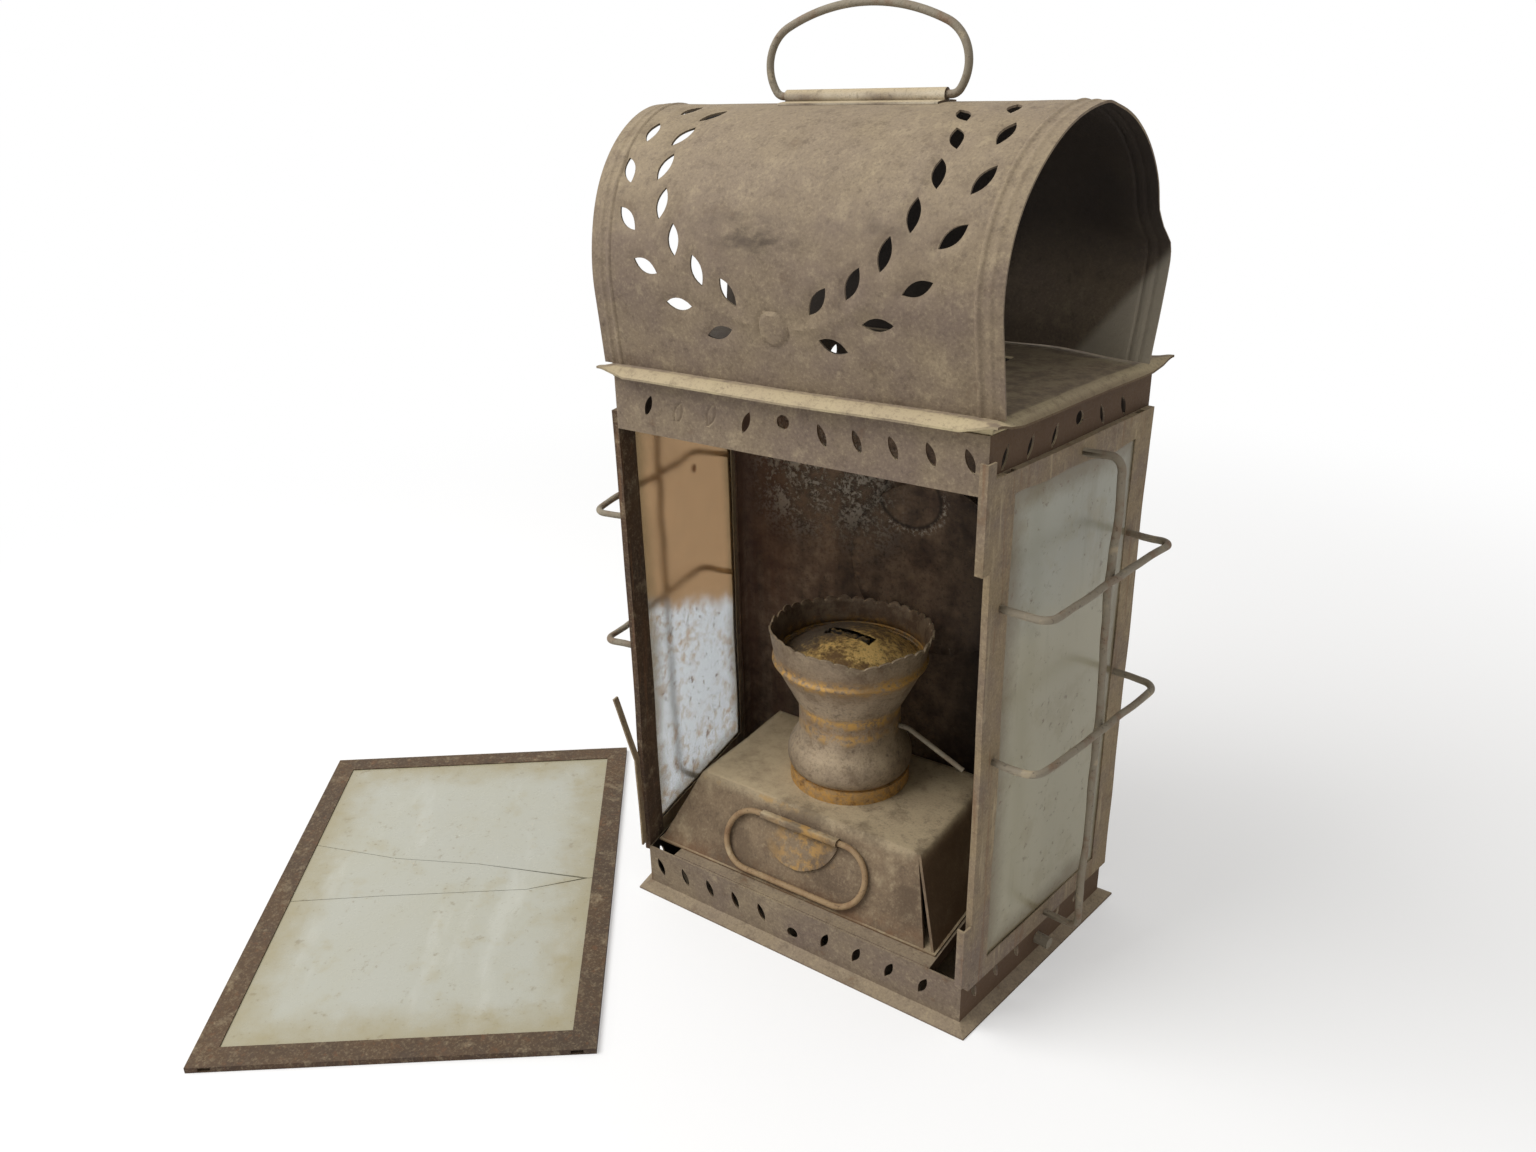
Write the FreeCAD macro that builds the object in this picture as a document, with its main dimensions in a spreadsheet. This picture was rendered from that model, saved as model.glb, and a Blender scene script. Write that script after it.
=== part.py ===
import FreeCAD, Part
import math
import os
import re

import Sketcher
from FreeCAD import Placement, Rotation, Vector

# Oil hand lantern of tinplate, in millimetres. The origin is the centre of its base,
# +X is to the right seen from the open front, +Y goes to the back wall and +Z is up.

doc = FreeCAD.newDocument("lantern")
sheet = doc.addObject("Spreadsheet::Sheet", "Sizes")

SIZES = {
    # Tinplate, wire and clearances
    "tin": 0.8,
    "wire": 2.8,
    "running_fit": 0.05,
    "seat_gap": 0.1,
    # Body, wider at the back than at the front, and its two pierced bands
    "body_width": 156.0,
    "body_depth": 106.0,
    "side_flare": 8.8,
    "foot_rise": 3.5,
    "foot_overhang": 4.6,
    "foot_tread": 1.5,
    "floor_gap": 0.074,
    "base_top": 22.4,
    "opening_height": 199.5,
    "upper_height": 20.8,
    "rim_rise": 3.7,
    "rim_overhang": 4.9,
    "back_flange": 10.0,
    # Shelf that carries the oil font
    "shelf_gap": 14.0,
    "shelf_rise": 0.5,
    "shelf_lip": 6.0,
    # Piercings of the bands
    "vent_hole": 5.0,
    "vent_shift": 2.0,
    "base_vent_level": 9.8,
    "base_leaf_level": 13.3,
    "upper_vent_rise": 13.9,
    "upper_leaf_rise": 11.4,
    "band_leaf_length": 9.0,
    "band_leaf_width": 3.1,
    "band_leaf_lean": 22.0,
    "row_first": 16.0,
    "row_pitch": 13.9,
    "row_wide_pitch": 15.2,
    "row_margin": 5.5,
    "peg_proud": 6.0,
    "peg_head": 8.0,
    # Barrel hood
    "hood_overhang": 4.3,
    "hood_shift": -1.1,
    "hood_inset": 2.2,
    "hood_spring": 35.9,
    "hood_lean": 8.0,
    "bead_width": 1.8,
    "bead_proud": 0.7,
    "bead_inset": 3.5,
    "bead_pitch": 4.0,
    "smoke_end_margin": 28.0,
    "smoke_side_margin": 24.0,
    # Laurel wreath punched through the front of the hood
    "wreath_shift": -3.0,
    "wreath_margin": 19.8,
    "boss_rise": 21.5,
    "wreath_pairs": 7,
    "wreath_first": 19.6,
    "wreath_step": 15.7,
    "wreath_spread": 7.9,
    "leaf_length": 12.6,
    "leaf_width": 4.6,
    "splay_first": 36.0,
    "splay_step": 4.0,
    "stem_width": 1.4,
    "twig_width": 1.0,
    "twig_set": 5.0,
    "boss_radius": 5.0,
    "boss_proud": 1.2,
    # Bail handle and the sleeve it turns in
    "bail_shift": 1.0,
    "sleeve_length": 64.0,
    "sleeve_wall": 0.8,
    "saddle_width": 14.0,
    "saddle_thickness": 0.6,
    "bail_play": 1.5,
    "bail_bend": 4.0,
    "bail_bend_turn": 55.0,
    "bail_side": 14.3,
    "bail_side_turn": 155.0,
    # Glazed side panels
    "panel_front_set": 0.5,
    "panel_rear_set": 1.2,
    "lap_low": 2.0,
    "lap_high": 6.8,
    "frame_thickness": 2.6,
    "fold": 0.45,
    "groove_depth": 5.0,
    "stile_width": 12.0,
    "rail_width": 9.0,
    "pane": 1.5,
    # Wire guards outside the panes
    "guard_reach": 17.7,
    "guard_corner": 5.0,
    "guard_front_inset": 7.8,
    "guard_rear_inset": 10.1,
    "guard_low": 120.4,
    "guard_high": 181.2,
    "upright_y": 1.7,
    # Lips that kept the door against the front
    "lip_stand": 4.7,
    "lip_reach": 3.2,
    "upper_lip_rise": 12.5,
    "upper_lip_length": 38.0,
    "lower_lip_rise": 2.0,
    "lower_lip_length": 27.0,
    "torn_straight": 45.0,
    "torn_length": 30.0,
    "torn_turn": 18.0,
    # Reflector on the back wall
    "reflector_x": 10.0,
    "reflector_rise": 120.5,
    "reflector_radius": 40.4,
    "dish_radius": 200.0,
    # Oil font
    "font_x": -7.3,
    "font_y": 1.5,
    "font_turn": 0.5,
    "font_side_room": 9.0,
    "font_end_room": 6.0,
    "font_height": 32.8,
    "font_slope_x": 13.8,
    "font_slope_y": 15.0,
    "font_hem": 1.0,
    "neck_bore": 34.0,
    "seam_gap": 3.5,
    "burner_x": 0.3,
    "burner_y": 4.5,
    # Burner
    "collar_step": 1.7,
    "collar_ledge": 4.8,
    "collar_height": 6.2,
    "bowl_foot": 24.8,
    "bowl_swell": 2.7,
    "bowl_level": 5.0,
    "bowl_height": 21.1,
    "shoulder_draw": 2.0,
    "shoulder_rise": 8.0,
    "waist_radius": 22.3,
    "waist_height": 10.3,
    "flare_height": 20.5,
    "cup_radius": 35.0,
    "cup_height": 16.9,
    "cup_bead": 0.8,
    "tooth_count": 36,
    "notch_width": 2.4,
    "notch_depth": 3.2,
    "dome_gap": 0.6,
    "dome_height": 12.3,
    # Wick, its tube and its spindle
    "wick_width": 18.0,
    "wick_thickness": 2.4,
    "wick_low": 8.0,
    "wick_stand": 1.5,
    "wick_play": 0.2,
    "tube_wall": 0.6,
    "tube_dip": 15.0,
    "tube_drop": 1.5,
    "slot_margin": 1.2,
    "spindle": 2.2,
    "spindle_rise": 1.0,
    "spindle_left_out": 1.2,
    "spindle_right_out": 2.7,
    "spindle_tail": 28.0,
    "spindle_turn": 25.0,
    "spindle_bend": 5.0,
    "wheel_radius": 4.1,
    "wheel_root": 3.1,
    "wheel_teeth": 12,
    "wheel_width": 2.0,
    "wheel_spacing": 10.0,
    # Pull ring on the front of the font
    "ring_wire": 2.6,
    "ring_level": 28.0,
    "ring_play": 2.8,
    "ring_end": 12.8,
    "tongue_half": 19.0,
    "tongue_drop": 18.0,
    "tongue_thickness": 0.6,
    # Lift-off door, laid on the ground beside the lantern
    "door_turn": 37.6,
    "door_clear": 11.8,
    "door_along": 9.3,
    "door_side_lap": 1.6,
    "door_end_lap": 7.6,
    "door_strip": 10.0,
    "crack": 0.3,
}

for row, (alias, size) in enumerate(SIZES.items(), start=1):
    sheet.set(f"A{row}", alias)
    sheet.set(f"B{row}", str(size))
    sheet.setAlias(f"B{row}", alias)
doc.recompute()

# Lengths that follow from the sheet, each written once
DERIVED = {
    "flare": "tan(side_flare * 1deg)",
    "slant": "cos(side_flare * 1deg)",
    "mid_half": "body_width / 2 + body_depth / 2 * flare",
    "side_length": "body_depth / slant",
    "upper_foot": "base_top + opening_height",
    "upper_top": "upper_foot + upper_height",
    "plate_low": "upper_top + rim_rise",
    "plate_top": "plate_low + tin",
    "foot_reach": "foot_overhang - foot_tread + tin",
    "floor_lip": "foot_reach * (1 - tin / (foot_rise - tin)) - tin - floor_gap",
    "shelf_top": "base_top + shelf_rise",
    "shelf_reach": "body_width / 2 - shelf_gap",
    "peg_length": "2 * tin + peg_proud",
    "smoke_length": "body_width - 2 * smoke_end_margin",
    "smoke_width": "body_depth - 2 * smoke_side_margin",
    "hood_axis": "plate_top + hood_spring",
    "hood_length": "body_width + 2 * hood_overhang",
    "hood_stock": "2 * (mid_half + body_depth * flare + hood_overhang)",
    "hood_radius": "(body_depth / 2 - hood_inset) * cos(hood_lean * 1deg)"
                   " + hood_spring * sin(hood_lean * 1deg)",
    "wreath_radius": "hood_length / 2 - wreath_margin",
    "wreath_rise": "boss_rise + wreath_radius",
    "sleeve_bore": "wire / 2 + running_fit",
    "sleeve_outer": "sleeve_bore + sleeve_wall",
    "saddle_radius": "hood_radius + seat_gap",
    "bail_axis": "hood_axis + saddle_radius + sleeve_outer",
    "bail_run": "sleeve_length / 2 + bail_play",
    "panel_front": "-side_length / 2 + panel_front_set",
    "panel_rear": "side_length / 2 - panel_rear_set",
    "panel_depth": "panel_rear - panel_front",
    "panel_low": "base_top - lap_low",
    "panel_high": "upper_foot + lap_high",
    "panel_height": "panel_high - panel_low",
    "pane_bite": "groove_depth - seat_gap",
    "guard_front": "panel_front + guard_front_inset",
    "guard_rear": "panel_rear - guard_rear_inset",
    "upright_low": "panel_low + rail_width / 2",
    "upright_high": "panel_high - rail_width / 2",
    "upper_lip_low": "upper_foot + upper_lip_rise - upper_lip_length",
    "lower_lip_low": "base_top + lower_lip_rise",
    "reflector_z": "base_top + reflector_rise",
    "dish_rise": "dish_radius - sqrt(dish_radius ^ 2 - reflector_radius ^ 2)",
    "font_length": "body_width - 2 * font_side_room",
    "font_depth": "body_depth - 2 * font_end_room",
    "tank_height": "font_height - tin",
    "tank_slant": "sqrt(font_slope_y ^ 2 + tank_height ^ 2)",
    "seam": "font_length / 2 - tin",
    "axis_x": "font_x + burner_x * cos(font_turn * 1deg) - burner_y * sin(font_turn * 1deg)",
    "axis_y": "font_y + burner_x * sin(font_turn * 1deg) + burner_y * cos(font_turn * 1deg)",
    "collar_radius": "bowl_foot + collar_step",
    "collar_bore": "bowl_foot - collar_ledge",
    "collar_top": "font_height + collar_height",
    "bowl_radius": "bowl_foot + bowl_swell",
    "throat_height": "bowl_height + waist_height + flare_height",
    "throat_top": "collar_top + throat_height",
    "dome_radius": "cup_radius - tin - dome_gap",
    "dome_curve": "(dome_radius ^ 2 + dome_height ^ 2) / (2 * dome_height)",
    "tube_x": "wick_width / 2 + wick_play + tube_wall",
    "tube_y": "wick_thickness / 2 + wick_play + tube_wall",
    "tube_low": "font_height - tube_dip",
    "tube_top": "throat_top + dome_height - tube_drop",
    "wick_top": "throat_top + dome_height + wick_stand",
    "spindle_left": "waist_radius + spindle_left_out",
    "spindle_right": "waist_radius + spindle_right_out",
    "spindle_level": "collar_top + bowl_height + spindle_rise",
    "spindle_y": "wick_thickness / 2 + seat_gap + wheel_radius",
    "knuckle": "ring_wire / 2 + running_fit + tongue_thickness",
    "ring_run": "tongue_half + ring_play",
    "tongue_curve": "(tongue_half ^ 2 + tongue_drop ^ 2) / (2 * tongue_drop)",
    "door_width": "body_width + 2 * door_side_lap",
    "door_height": "opening_height + 2 * door_end_lap",
    "door_reach": "door_width / 2 + door_clear",
    "door_x": "-body_width / 2 - foot_overhang - door_reach * cos(door_turn * 1deg)"
              " - door_along * sin(door_turn * 1deg)",
    "door_y": "-body_depth / 2 - foot_overhang - door_reach * sin(door_turn * 1deg)"
              " + door_along * cos(door_turn * 1deg)",
    "door_pane_x": "door_width / 2 - door_strip + pane_bite",
    "door_pane_y": "door_height / 2 - door_strip + pane_bite",
}

# Frames that groups of pieces stand in: x, y, z and the turn about Z in degrees
LANTERN = ("0", "0", "0", "0")
SIDES = {"right": ("mid_half", "0", "0", "-(side_flare)"), "left": ("-(mid_half)", "0", "0", "side_flare")}
FONT = ("font_x", "font_y", "shelf_top", "font_turn")
BURNER = ("axis_x", "axis_y", "shelf_top", "font_turn")
DOOR = ("door_x", "door_y", "0", "door_turn")

X_AXIS, Y_AXIS, Z_AXIS = Vector(1, 0, 0), Vector(0, 1, 0), Vector(0, 0, 1)
UPRIGHT = Rotation(X_AXIS, 90)

pieces = []


def ex(text):
    """The sheet expression for a formula written with the names of sizes and derived lengths."""
    def swap(word):
        name = word[0]
        if name in DERIVED:
            return f"({ex(DERIVED[name])})"
        return f"Sizes.{name}" if name in SIZES else name
    return re.sub(r"[a-z_]+", swap, text)


def num(text):
    """The value of a formula."""
    return float(sheet.evalExpression(ex(text)))


def keep(obj, label):
    """Name a finished sub-part, which is then written under that name."""
    obj.Label = label
    pieces.append(obj)
    return obj


def place(obj, frame, x, y, z, turn=Rotation()):
    """Set an object at a point of a frame, with its own turn before the frame's."""
    spin = f"({frame[3]}) * 1deg"
    obj.Placement = Placement(Vector(), Rotation(Z_AXIS, num(frame[3])) * turn)
    obj.setExpression("Placement.Base.x", ex(f"{frame[0]} + ({x}) * cos({spin}) - ({y}) * sin({spin})"))
    obj.setExpression("Placement.Base.y", ex(f"{frame[1]} + ({x}) * sin({spin}) + ({y}) * cos({spin})"))
    obj.setExpression("Placement.Base.z", ex(f"{frame[2]} + ({z})"))
    return obj


def box(name, length, width, height):
    """A box bound to three formulas, with its corner at the local origin."""
    obj = doc.addObject("Part::Box", name)
    obj.setExpression("Length", ex(length))
    obj.setExpression("Width", ex(width))
    obj.setExpression("Height", ex(height))
    return obj


def cylinder(name, radius, height):
    """A cylinder along local Z bound to two formulas."""
    obj = doc.addObject("Part::Cylinder", name)
    obj.setExpression("Radius", ex(radius))
    obj.setExpression("Height", ex(height))
    return obj


def boolean(kind, name, base, tool):
    """A Part::Cut, Part::Fuse or Part::Common of two objects."""
    obj = doc.addObject(f"Part::{kind}", name)
    obj.Base = base
    obj.Tool = tool
    return obj


def new_body(name):
    return doc.addObject("PartDesign::Body", name)


def arc_between(start, end, radius, turn):
    """The minor arc from start to end; turn is +1 to the left and -1 to the right."""
    chord = end - start
    half = chord.Length / 2
    rise = math.sqrt(max(radius * radius - half * half, 0.0))
    left = Vector(-chord.y, chord.x, 0).normalize()
    centre = (start + end) / 2 + left * rise * turn
    first, last = (start, end) if turn > 0 else (end, start)
    begin = math.atan2(first.y - centre.y, first.x - centre.x)
    finish = math.atan2(last.y - centre.y, last.x - centre.x)
    if finish < begin:
        finish += 2 * math.pi
    return Part.ArcOfCircle(Part.Circle(centre, Z_AXIS, radius), begin, finish)


def sketch(body, plane, loops, offset="0", closed=True):
    """A sketch on an origin plane of its body, every corner bound to the sheet.

    A loop is a list of corners (x, y), or (x, y, radius, turn) where an arc leads on to the next.
    """
    obj = body.newObject("Sketcher::SketchObject", body.Name + "_sketch")
    origin_plane = [part for part in body.Origin.OriginFeatures if part.Role == plane][0]
    obj.AttachmentSupport = [(origin_plane, "")]
    obj.MapMode = "FlatFace"
    obj.setExpression("AttachmentOffset.Base.z", ex(offset))
    for corners in loops:
        points = [Vector(num(corner[0]), num(corner[1]), 0) for corner in corners]
        count = len(corners) if closed else len(corners) - 1
        ends = []
        for index in range(count):
            start, end = points[index], points[(index + 1) % len(points)]
            if len(corners[index]) == 2:
                line = obj.addGeometry(Part.LineSegment(start, end), False)
                ends.append((line, 1, 2))
                continue
            radius, turn = corners[index][2:]
            arc = obj.addGeometry(arc_between(start, end, num(radius), turn), False)
            ends.append((arc, 1, 2) if turn > 0 else (arc, 2, 1))
            bind(obj, Sketcher.Constraint("Radius", arc, num(radius)), radius)
        for index in range(count if closed else count - 1):
            here, after = ends[index], ends[(index + 1) % count]
            obj.addConstraint(Sketcher.Constraint("Coincident", here[0], here[2], after[0], after[1]))
        for index, corner in enumerate(corners):
            edge = (ends[index][0], ends[index][1]) if index < count else (ends[-1][0], ends[-1][2])
            for axis, kind, formula in ((-2, "DistanceX", corner[0]), (-1, "DistanceY", corner[1])):
                if formula == "0":
                    obj.addConstraint(Sketcher.Constraint("PointOnObject", edge[0], edge[1], axis))
                else:
                    bind(obj, Sketcher.Constraint(kind, -1, 1, edge[0], edge[1], num(formula)), formula)
    return obj


def bind(obj, constraint, formula):
    """Add a constraint to a sketch and bind its value to the sheet."""
    index = obj.addConstraint(constraint)
    name = f"size_{index}"
    obj.renameConstraint(index, name)
    obj.setExpression("Constraints." + name, ex(formula))


def circle_sketch(body, plane, radii, offset="0"):
    """Circles about the sketch origin."""
    obj = sketch(body, plane, [], offset)
    for radius in radii:
        ring = obj.addGeometry(Part.Circle(Vector(), Z_AXIS, num(radius)), False)
        obj.addConstraint(Sketcher.Constraint("Coincident", ring, 3, -1, 1))
        bind(obj, Sketcher.Constraint("Radius", ring, num(radius)), radius)
    return obj


def rectangle(left, right, low, high):
    return [(left, low), (right, low), (right, high), (left, high)]


def feature(body, kind, profile, **settings):
    """A sketch-based feature of a body."""
    obj = body.newObject(f"PartDesign::{kind}", f"{body.Name}_{kind}")
    obj.Profile = profile
    for name, setting in settings.items():
        setattr(obj, name, setting)
    return obj


def pad(body, profile, length, side="One side", reverse=False):
    obj = feature(body, "Pad", profile, SideType=side, Reversed=reverse)
    obj.setExpression("Length", ex(length))
    return obj


def pocket(body, profile, length, side="One side", reverse=False):
    """A pocket that is checked to take material away."""
    doc.recompute()
    before = body.Shape.Volume
    obj = feature(body, "Pocket", profile, SideType=side, Reversed=reverse)
    obj.setExpression("Length", ex(length))
    doc.recompute()
    if body.Shape.Volume > before - 1e-3:
        raise RuntimeError(f"{body.Name}: the pocket cuts nothing")
    return obj


def revolved(name, corners):
    """A body turned about its local Z from a closed profile of (radius, height) corners."""
    body = new_body(name)
    profile = sketch(body, "XZ_Plane", [corners])
    feature(body, "Revolution", profile, ReferenceAxis=(profile, ["V_Axis"]), Angle=360)
    return body


def half_plan(y, reach="0"):
    """Half the width of the body's plan at a depth, let out by a reach."""
    return f"(mid_half + ({y}) * flare + ({reach}) / slant)"


def plan(reach="0"):
    """Corners of the body's plan from its front left one, let out by a reach on all four sides."""
    front, rear = f"(-body_depth / 2 - ({reach}))", f"(body_depth / 2 + ({reach}))"
    near_half, far_half = half_plan(front, reach), half_plan(rear, reach)
    return [(f"-{near_half}", front), (near_half, front), (far_half, rear), (f"-{far_half}", rear)]


def moulded(name, corners):
    """A strip of one section mitred round the body's plan; corners are (outward, up) from its line."""
    body = new_body(name)
    front_left, *others = plan()
    path = sketch(body, "XY_Plane", [[("0", "-body_depth / 2"), *others, front_left]])
    section = sketch(body, "YZ_Plane", [[(f"-body_depth / 2 - ({out})", up) for out, up in corners]])
    feature(body, "AdditivePipe", section, Spine=path, Transition="Right corner")
    return body


def bent_wire(name, corners, diameter, closed=False):
    """Round wire along a path in its local XY plane that sets out from the origin along +X."""
    body = new_body(name)
    path = sketch(body, "XY_Plane", [corners], closed=closed)
    section = circle_sketch(body, "YZ_Plane", [f"({diameter}) / 2"])
    feature(body, "AdditivePipe", section, Spine=path)
    return body


def staple(name, reach, span, corner):
    """A wire staple: out from a face, across and back to it."""
    return bent_wire(name, [
        ("0", "0"), (f"{reach} - {corner}", "0", corner, 1),
        (reach, corner), (reach, f"{span} - {corner}", corner, 1),
        (f"{reach} - {corner}", span), ("0", span),
    ], "wire")


def leaf(centre, normal, along, length, width, depth):
    """A pointed leaf, two equal arcs, cut through the sheet at a point of it."""
    across = normal.cross(along)
    root = centre - along * (length / 2) - normal * depth
    tip = root + along * length
    middle = root + along * (length / 2)
    edges = [Part.Arc(root, middle + across * (side * width / 2), tip).toShape() for side in (1, -1)]
    return Part.Face(Part.Wire(edges)).extrude(normal * (2 * depth))


def punches(name, solids):
    """The punches of one sheet as a single cutting tool."""
    obj = doc.addObject("Part::Feature", name)
    obj.Shape = Part.makeCompound(solids)
    return obj


# Base: flared foot and pierced band, floor, and the shelf for the font


def leaf_row(room, pitch, blind=()):
    """Distances of a row's leaves from its vent hole, as many as the room takes."""
    count = int((room - num("row_margin + row_first")) / pitch) + 1
    return [num("row_first") + index * pitch for index in range(count) if index not in blind]


def band_punches(middle, normal, vent_level, leaf_level, shift, rows, lean):
    """Punches of one face of a band: a vent hole, and a row of leaning leaves on each side of it."""
    along = Z_AXIS.cross(normal)
    face = middle + along * shift
    depth = 4 * num("tin")
    solids = [Part.makeCylinder(num("vent_hole / 2 + seat_gap"), 2 * depth,
                                face + Z_AXIS * vent_level - normal * depth, normal)]
    for side, row in zip((-1, 1), rows):
        axis = Rotation(normal, side * lean).multVec(Z_AXIS)
        for distance in row:
            centre = face + Z_AXIS * leaf_level + along * (side * distance)
            solids.append(leaf(centre, normal, axis, num("band_leaf_length"), num("band_leaf_width"), depth))
    return solids


def pierced(label, band, vent_level, leaf_level, front_rows, lean):
    """A band with the punches of its front, back and two ends taken out."""
    pitch, wide = num("row_pitch"), num("row_wide_pitch")
    shift, depth, side = num("vent_shift"), num("body_depth / 2"), num("mid_half")
    back_row = leaf_row(num(half_plan("body_depth / 2")), pitch)
    front_end = leaf_row(num("side_length / 2 + vent_shift"), wide)
    rear_end = leaf_row(num("side_length / 2 - vent_shift"), wide)
    right, left = (Rotation(Z_AXIS, num(SIDES[name][3])).multVec(X_AXIS) for name in ("right", "left"))
    levels = (vent_level, leaf_level)
    solids = band_punches(-Y_AXIS * depth, -Y_AXIS, *levels, 0, front_rows, lean)
    solids += band_punches(Y_AXIS * depth, Y_AXIS, *levels, 0, (back_row, back_row), lean)
    solids += band_punches(X_AXIS * side, right, *levels, shift, (front_end, rear_end), lean)
    solids += band_punches(-X_AXIS * side, -left, *levels, -shift, (rear_end, front_end), lean)
    return keep(boolean("Cut", label + "_cut", band, punches(label + "_punches", solids)), label)


base_ring = moulded("base_ring", [
    ("-tin", "base_top"), ("-tin", "foot_rise - tin"), ("foot_overhang - foot_tread", "0"),
    ("foot_overhang", "0"), ("foot_overhang", "tin"), ("0", "foot_rise"), ("0", "base_top"),
])
base_rows = (leaf_row(num("body_width / 2"), num("row_pitch")),
             leaf_row(num("body_width / 2"), num("row_wide_pitch")))
pierced("base_band", base_ring, num("base_vent_level"), num("base_leaf_level"), base_rows,
        -num("band_leaf_lean"))

base_floor = keep(new_body("floor_sheet"), "base_floor")
pad(base_floor, sketch(base_floor, "XY_Plane", [plan("floor_lip")]), "tin")

shelf = keep(new_body("shelf"), "font_shelf")
pad(shelf, sketch(shelf, "XZ_Plane", [[
    ("-shelf_reach", "-shelf_lip"), ("-shelf_reach + tin", "-shelf_lip"), ("-shelf_reach + tin", "-tin"),
    ("shelf_reach - tin", "-tin"), ("shelf_reach - tin", "-shelf_lip"), ("shelf_reach", "-shelf_lip"),
    ("shelf_reach", "0"), ("-shelf_reach", "0"),
]]), "body_depth - 2 * tin", side="Symmetric")
place(shelf, LANTERN, "0", "0", "shelf_top")

peg = keep(revolved("peg", [
    ("0", "0"), ("peg_head / 2", "0"), ("peg_head / 2", "tin"), ("vent_hole / 2", "tin"),
    ("vent_hole / 2", "peg_length"), ("0", "peg_length"),
]), "side_peg")
place(peg, SIDES["right"], "-2 * tin", "vent_shift", "base_vent_level", Rotation(Y_AXIS, 90))

# Back wall with its two turned edges, and the dished reflector on it

EDGE_Y, WALL_Y, BACK_Y = "body_depth / 2 - back_flange", "body_depth / 2 - tin", "body_depth / 2"
back_half = [(half_plan(BACK_Y), BACK_Y), (half_plan(EDGE_Y), EDGE_Y), (half_plan(EDGE_Y, "-tin"), EDGE_Y),
             (half_plan(WALL_Y, "-tin"), WALL_Y)]
back = keep(new_body("back"), "back_panel")
back_plan = back_half + [(f"-{x}", y) for x, y in back_half[::-1]]
pad(back, sketch(back, "XY_Plane", [back_plan]), "opening_height")
place(back, LANTERN, "0", "0", "base_top")

reflector = keep(revolved("dish", [
    ("0", "0", "dish_radius", 1), ("reflector_radius", "dish_rise"),
    ("reflector_radius", "dish_rise + tin", "dish_radius", -1), ("0", "tin"),
]), "reflector")
place(reflector, LANTERN, "reflector_x", "body_depth / 2 - tin", "reflector_z", UPRIGHT)

# Top: pierced band, cove under the rim, top plate with its smoke hole

upper_ring = moulded("upper_ring", rectangle("-tin", "0", "upper_foot", "upper_top"))
UNPUNCHED = (1, 2)
upper_rows = (leaf_row(num("body_width / 2"), num("row_wide_pitch"), UNPUNCHED),
              leaf_row(num("body_width / 2"), num("row_pitch")))
pierced("upper_band", upper_ring, num("upper_foot + upper_vent_rise"), num("upper_foot + upper_leaf_rise"),
        upper_rows, num("band_leaf_lean"))

# The hollow of the cove from the band up to the rim, as shares of its overhang and rise
COVE = [(0.0, 0.0), (0.134, 0.5), (0.5, 0.866), (1.0, 1.0)]
hollow = [(f"{out} * rim_overhang", f"upper_top + {up} * rim_rise") for out, up in COVE]
keep(moulded("cove", [("-tin", "plate_low"), ("-tin", "upper_top")] + hollow), "rim_cove")

plate = keep(new_body("plate"), "top_plate")
pad(plate, sketch(plate, "XY_Plane", [
    plan("rim_overhang"),
    rectangle("-smoke_length / 2", "smoke_length / 2", "-smoke_width / 2", "smoke_width / 2"),
]), "tin")
place(plate, LANTERN, "0", "0", "plate_low")

# Barrel hood, open at both ends, with beads beside the ends and the laurel wreath at the front


def arch(radius):
    """Corners of the hood's section from its right foot over the ridge to its left foot."""
    level = f"(hood_spring - {radius} * sin(hood_lean * 1deg))"
    spring = f"({radius} * cos(hood_lean * 1deg))"
    foot = f"({spring} - {level} * tan(hood_lean * 1deg))"
    return [(foot, "0"), (spring, level, radius, 1), ("0", f"hood_spring + {radius}", radius, 1),
            (f"-{spring}", level), (f"-{foot}", "0")]


def turned_back(corners):
    """The same corners the other way round."""
    points = [corner[:2] for corner in corners][::-1]
    arcs = [corner[2:] for corner in corners][-2::-1] + [()]
    return [point + ((arc[0], -arc[1]) if arc else ()) for point, arc in zip(points, arcs)]


def vault(name, inner, outer):
    """An arch between two radii, longer than the hood."""
    body = new_body(name)
    profile = sketch(body, "YZ_Plane", [arch(outer) + turned_back(arch(inner))])
    pad(body, profile, "hood_stock", side="Symmetric")
    return place(body, LANTERN, "0", "0", "plate_top")


def slice_box(name, side, start, length):
    """A box across the whole hood, parallel to a side; start is how far outside its end it begins."""
    block = box(name, length, "2 * body_depth", "2 * (hood_spring + hood_radius)")
    if side == "right":
        x = f"hood_overhang + hood_shift + ({start})"
    else:
        x = f"hood_shift - hood_overhang - ({start}) - ({length})"
    return place(block, SIDES[side], x, "-body_depth", "plate_low")


plain_hood = vault("vault", "(hood_radius - tin)", "hood_radius")
bead_slices = []
for side in SIDES:
    end = slice_box(f"end_{side}", side, "0", "hood_stock")
    plain_hood = boolean("Cut", f"cut_hood_{side}", plain_hood, end)
    for bead in range(2):
        inset = f"(bead_inset + {bead} * bead_pitch)"
        bead_slices.append(slice_box(f"bead_{bead}_{side}", side, f"-{inset} - bead_width", "bead_width"))
bead_rings = doc.addObject("Part::Compound", "bead_rings")
bead_rings.Links = bead_slices
bead_vault = vault("bead_vault", "(hood_radius - tin / 2)", "(hood_radius + bead_proud)")
beads = boolean("Common", "beads", bead_vault, bead_rings)
beaded_hood = boolean("Fuse", "beaded_hood", plain_hood, beads)


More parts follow.
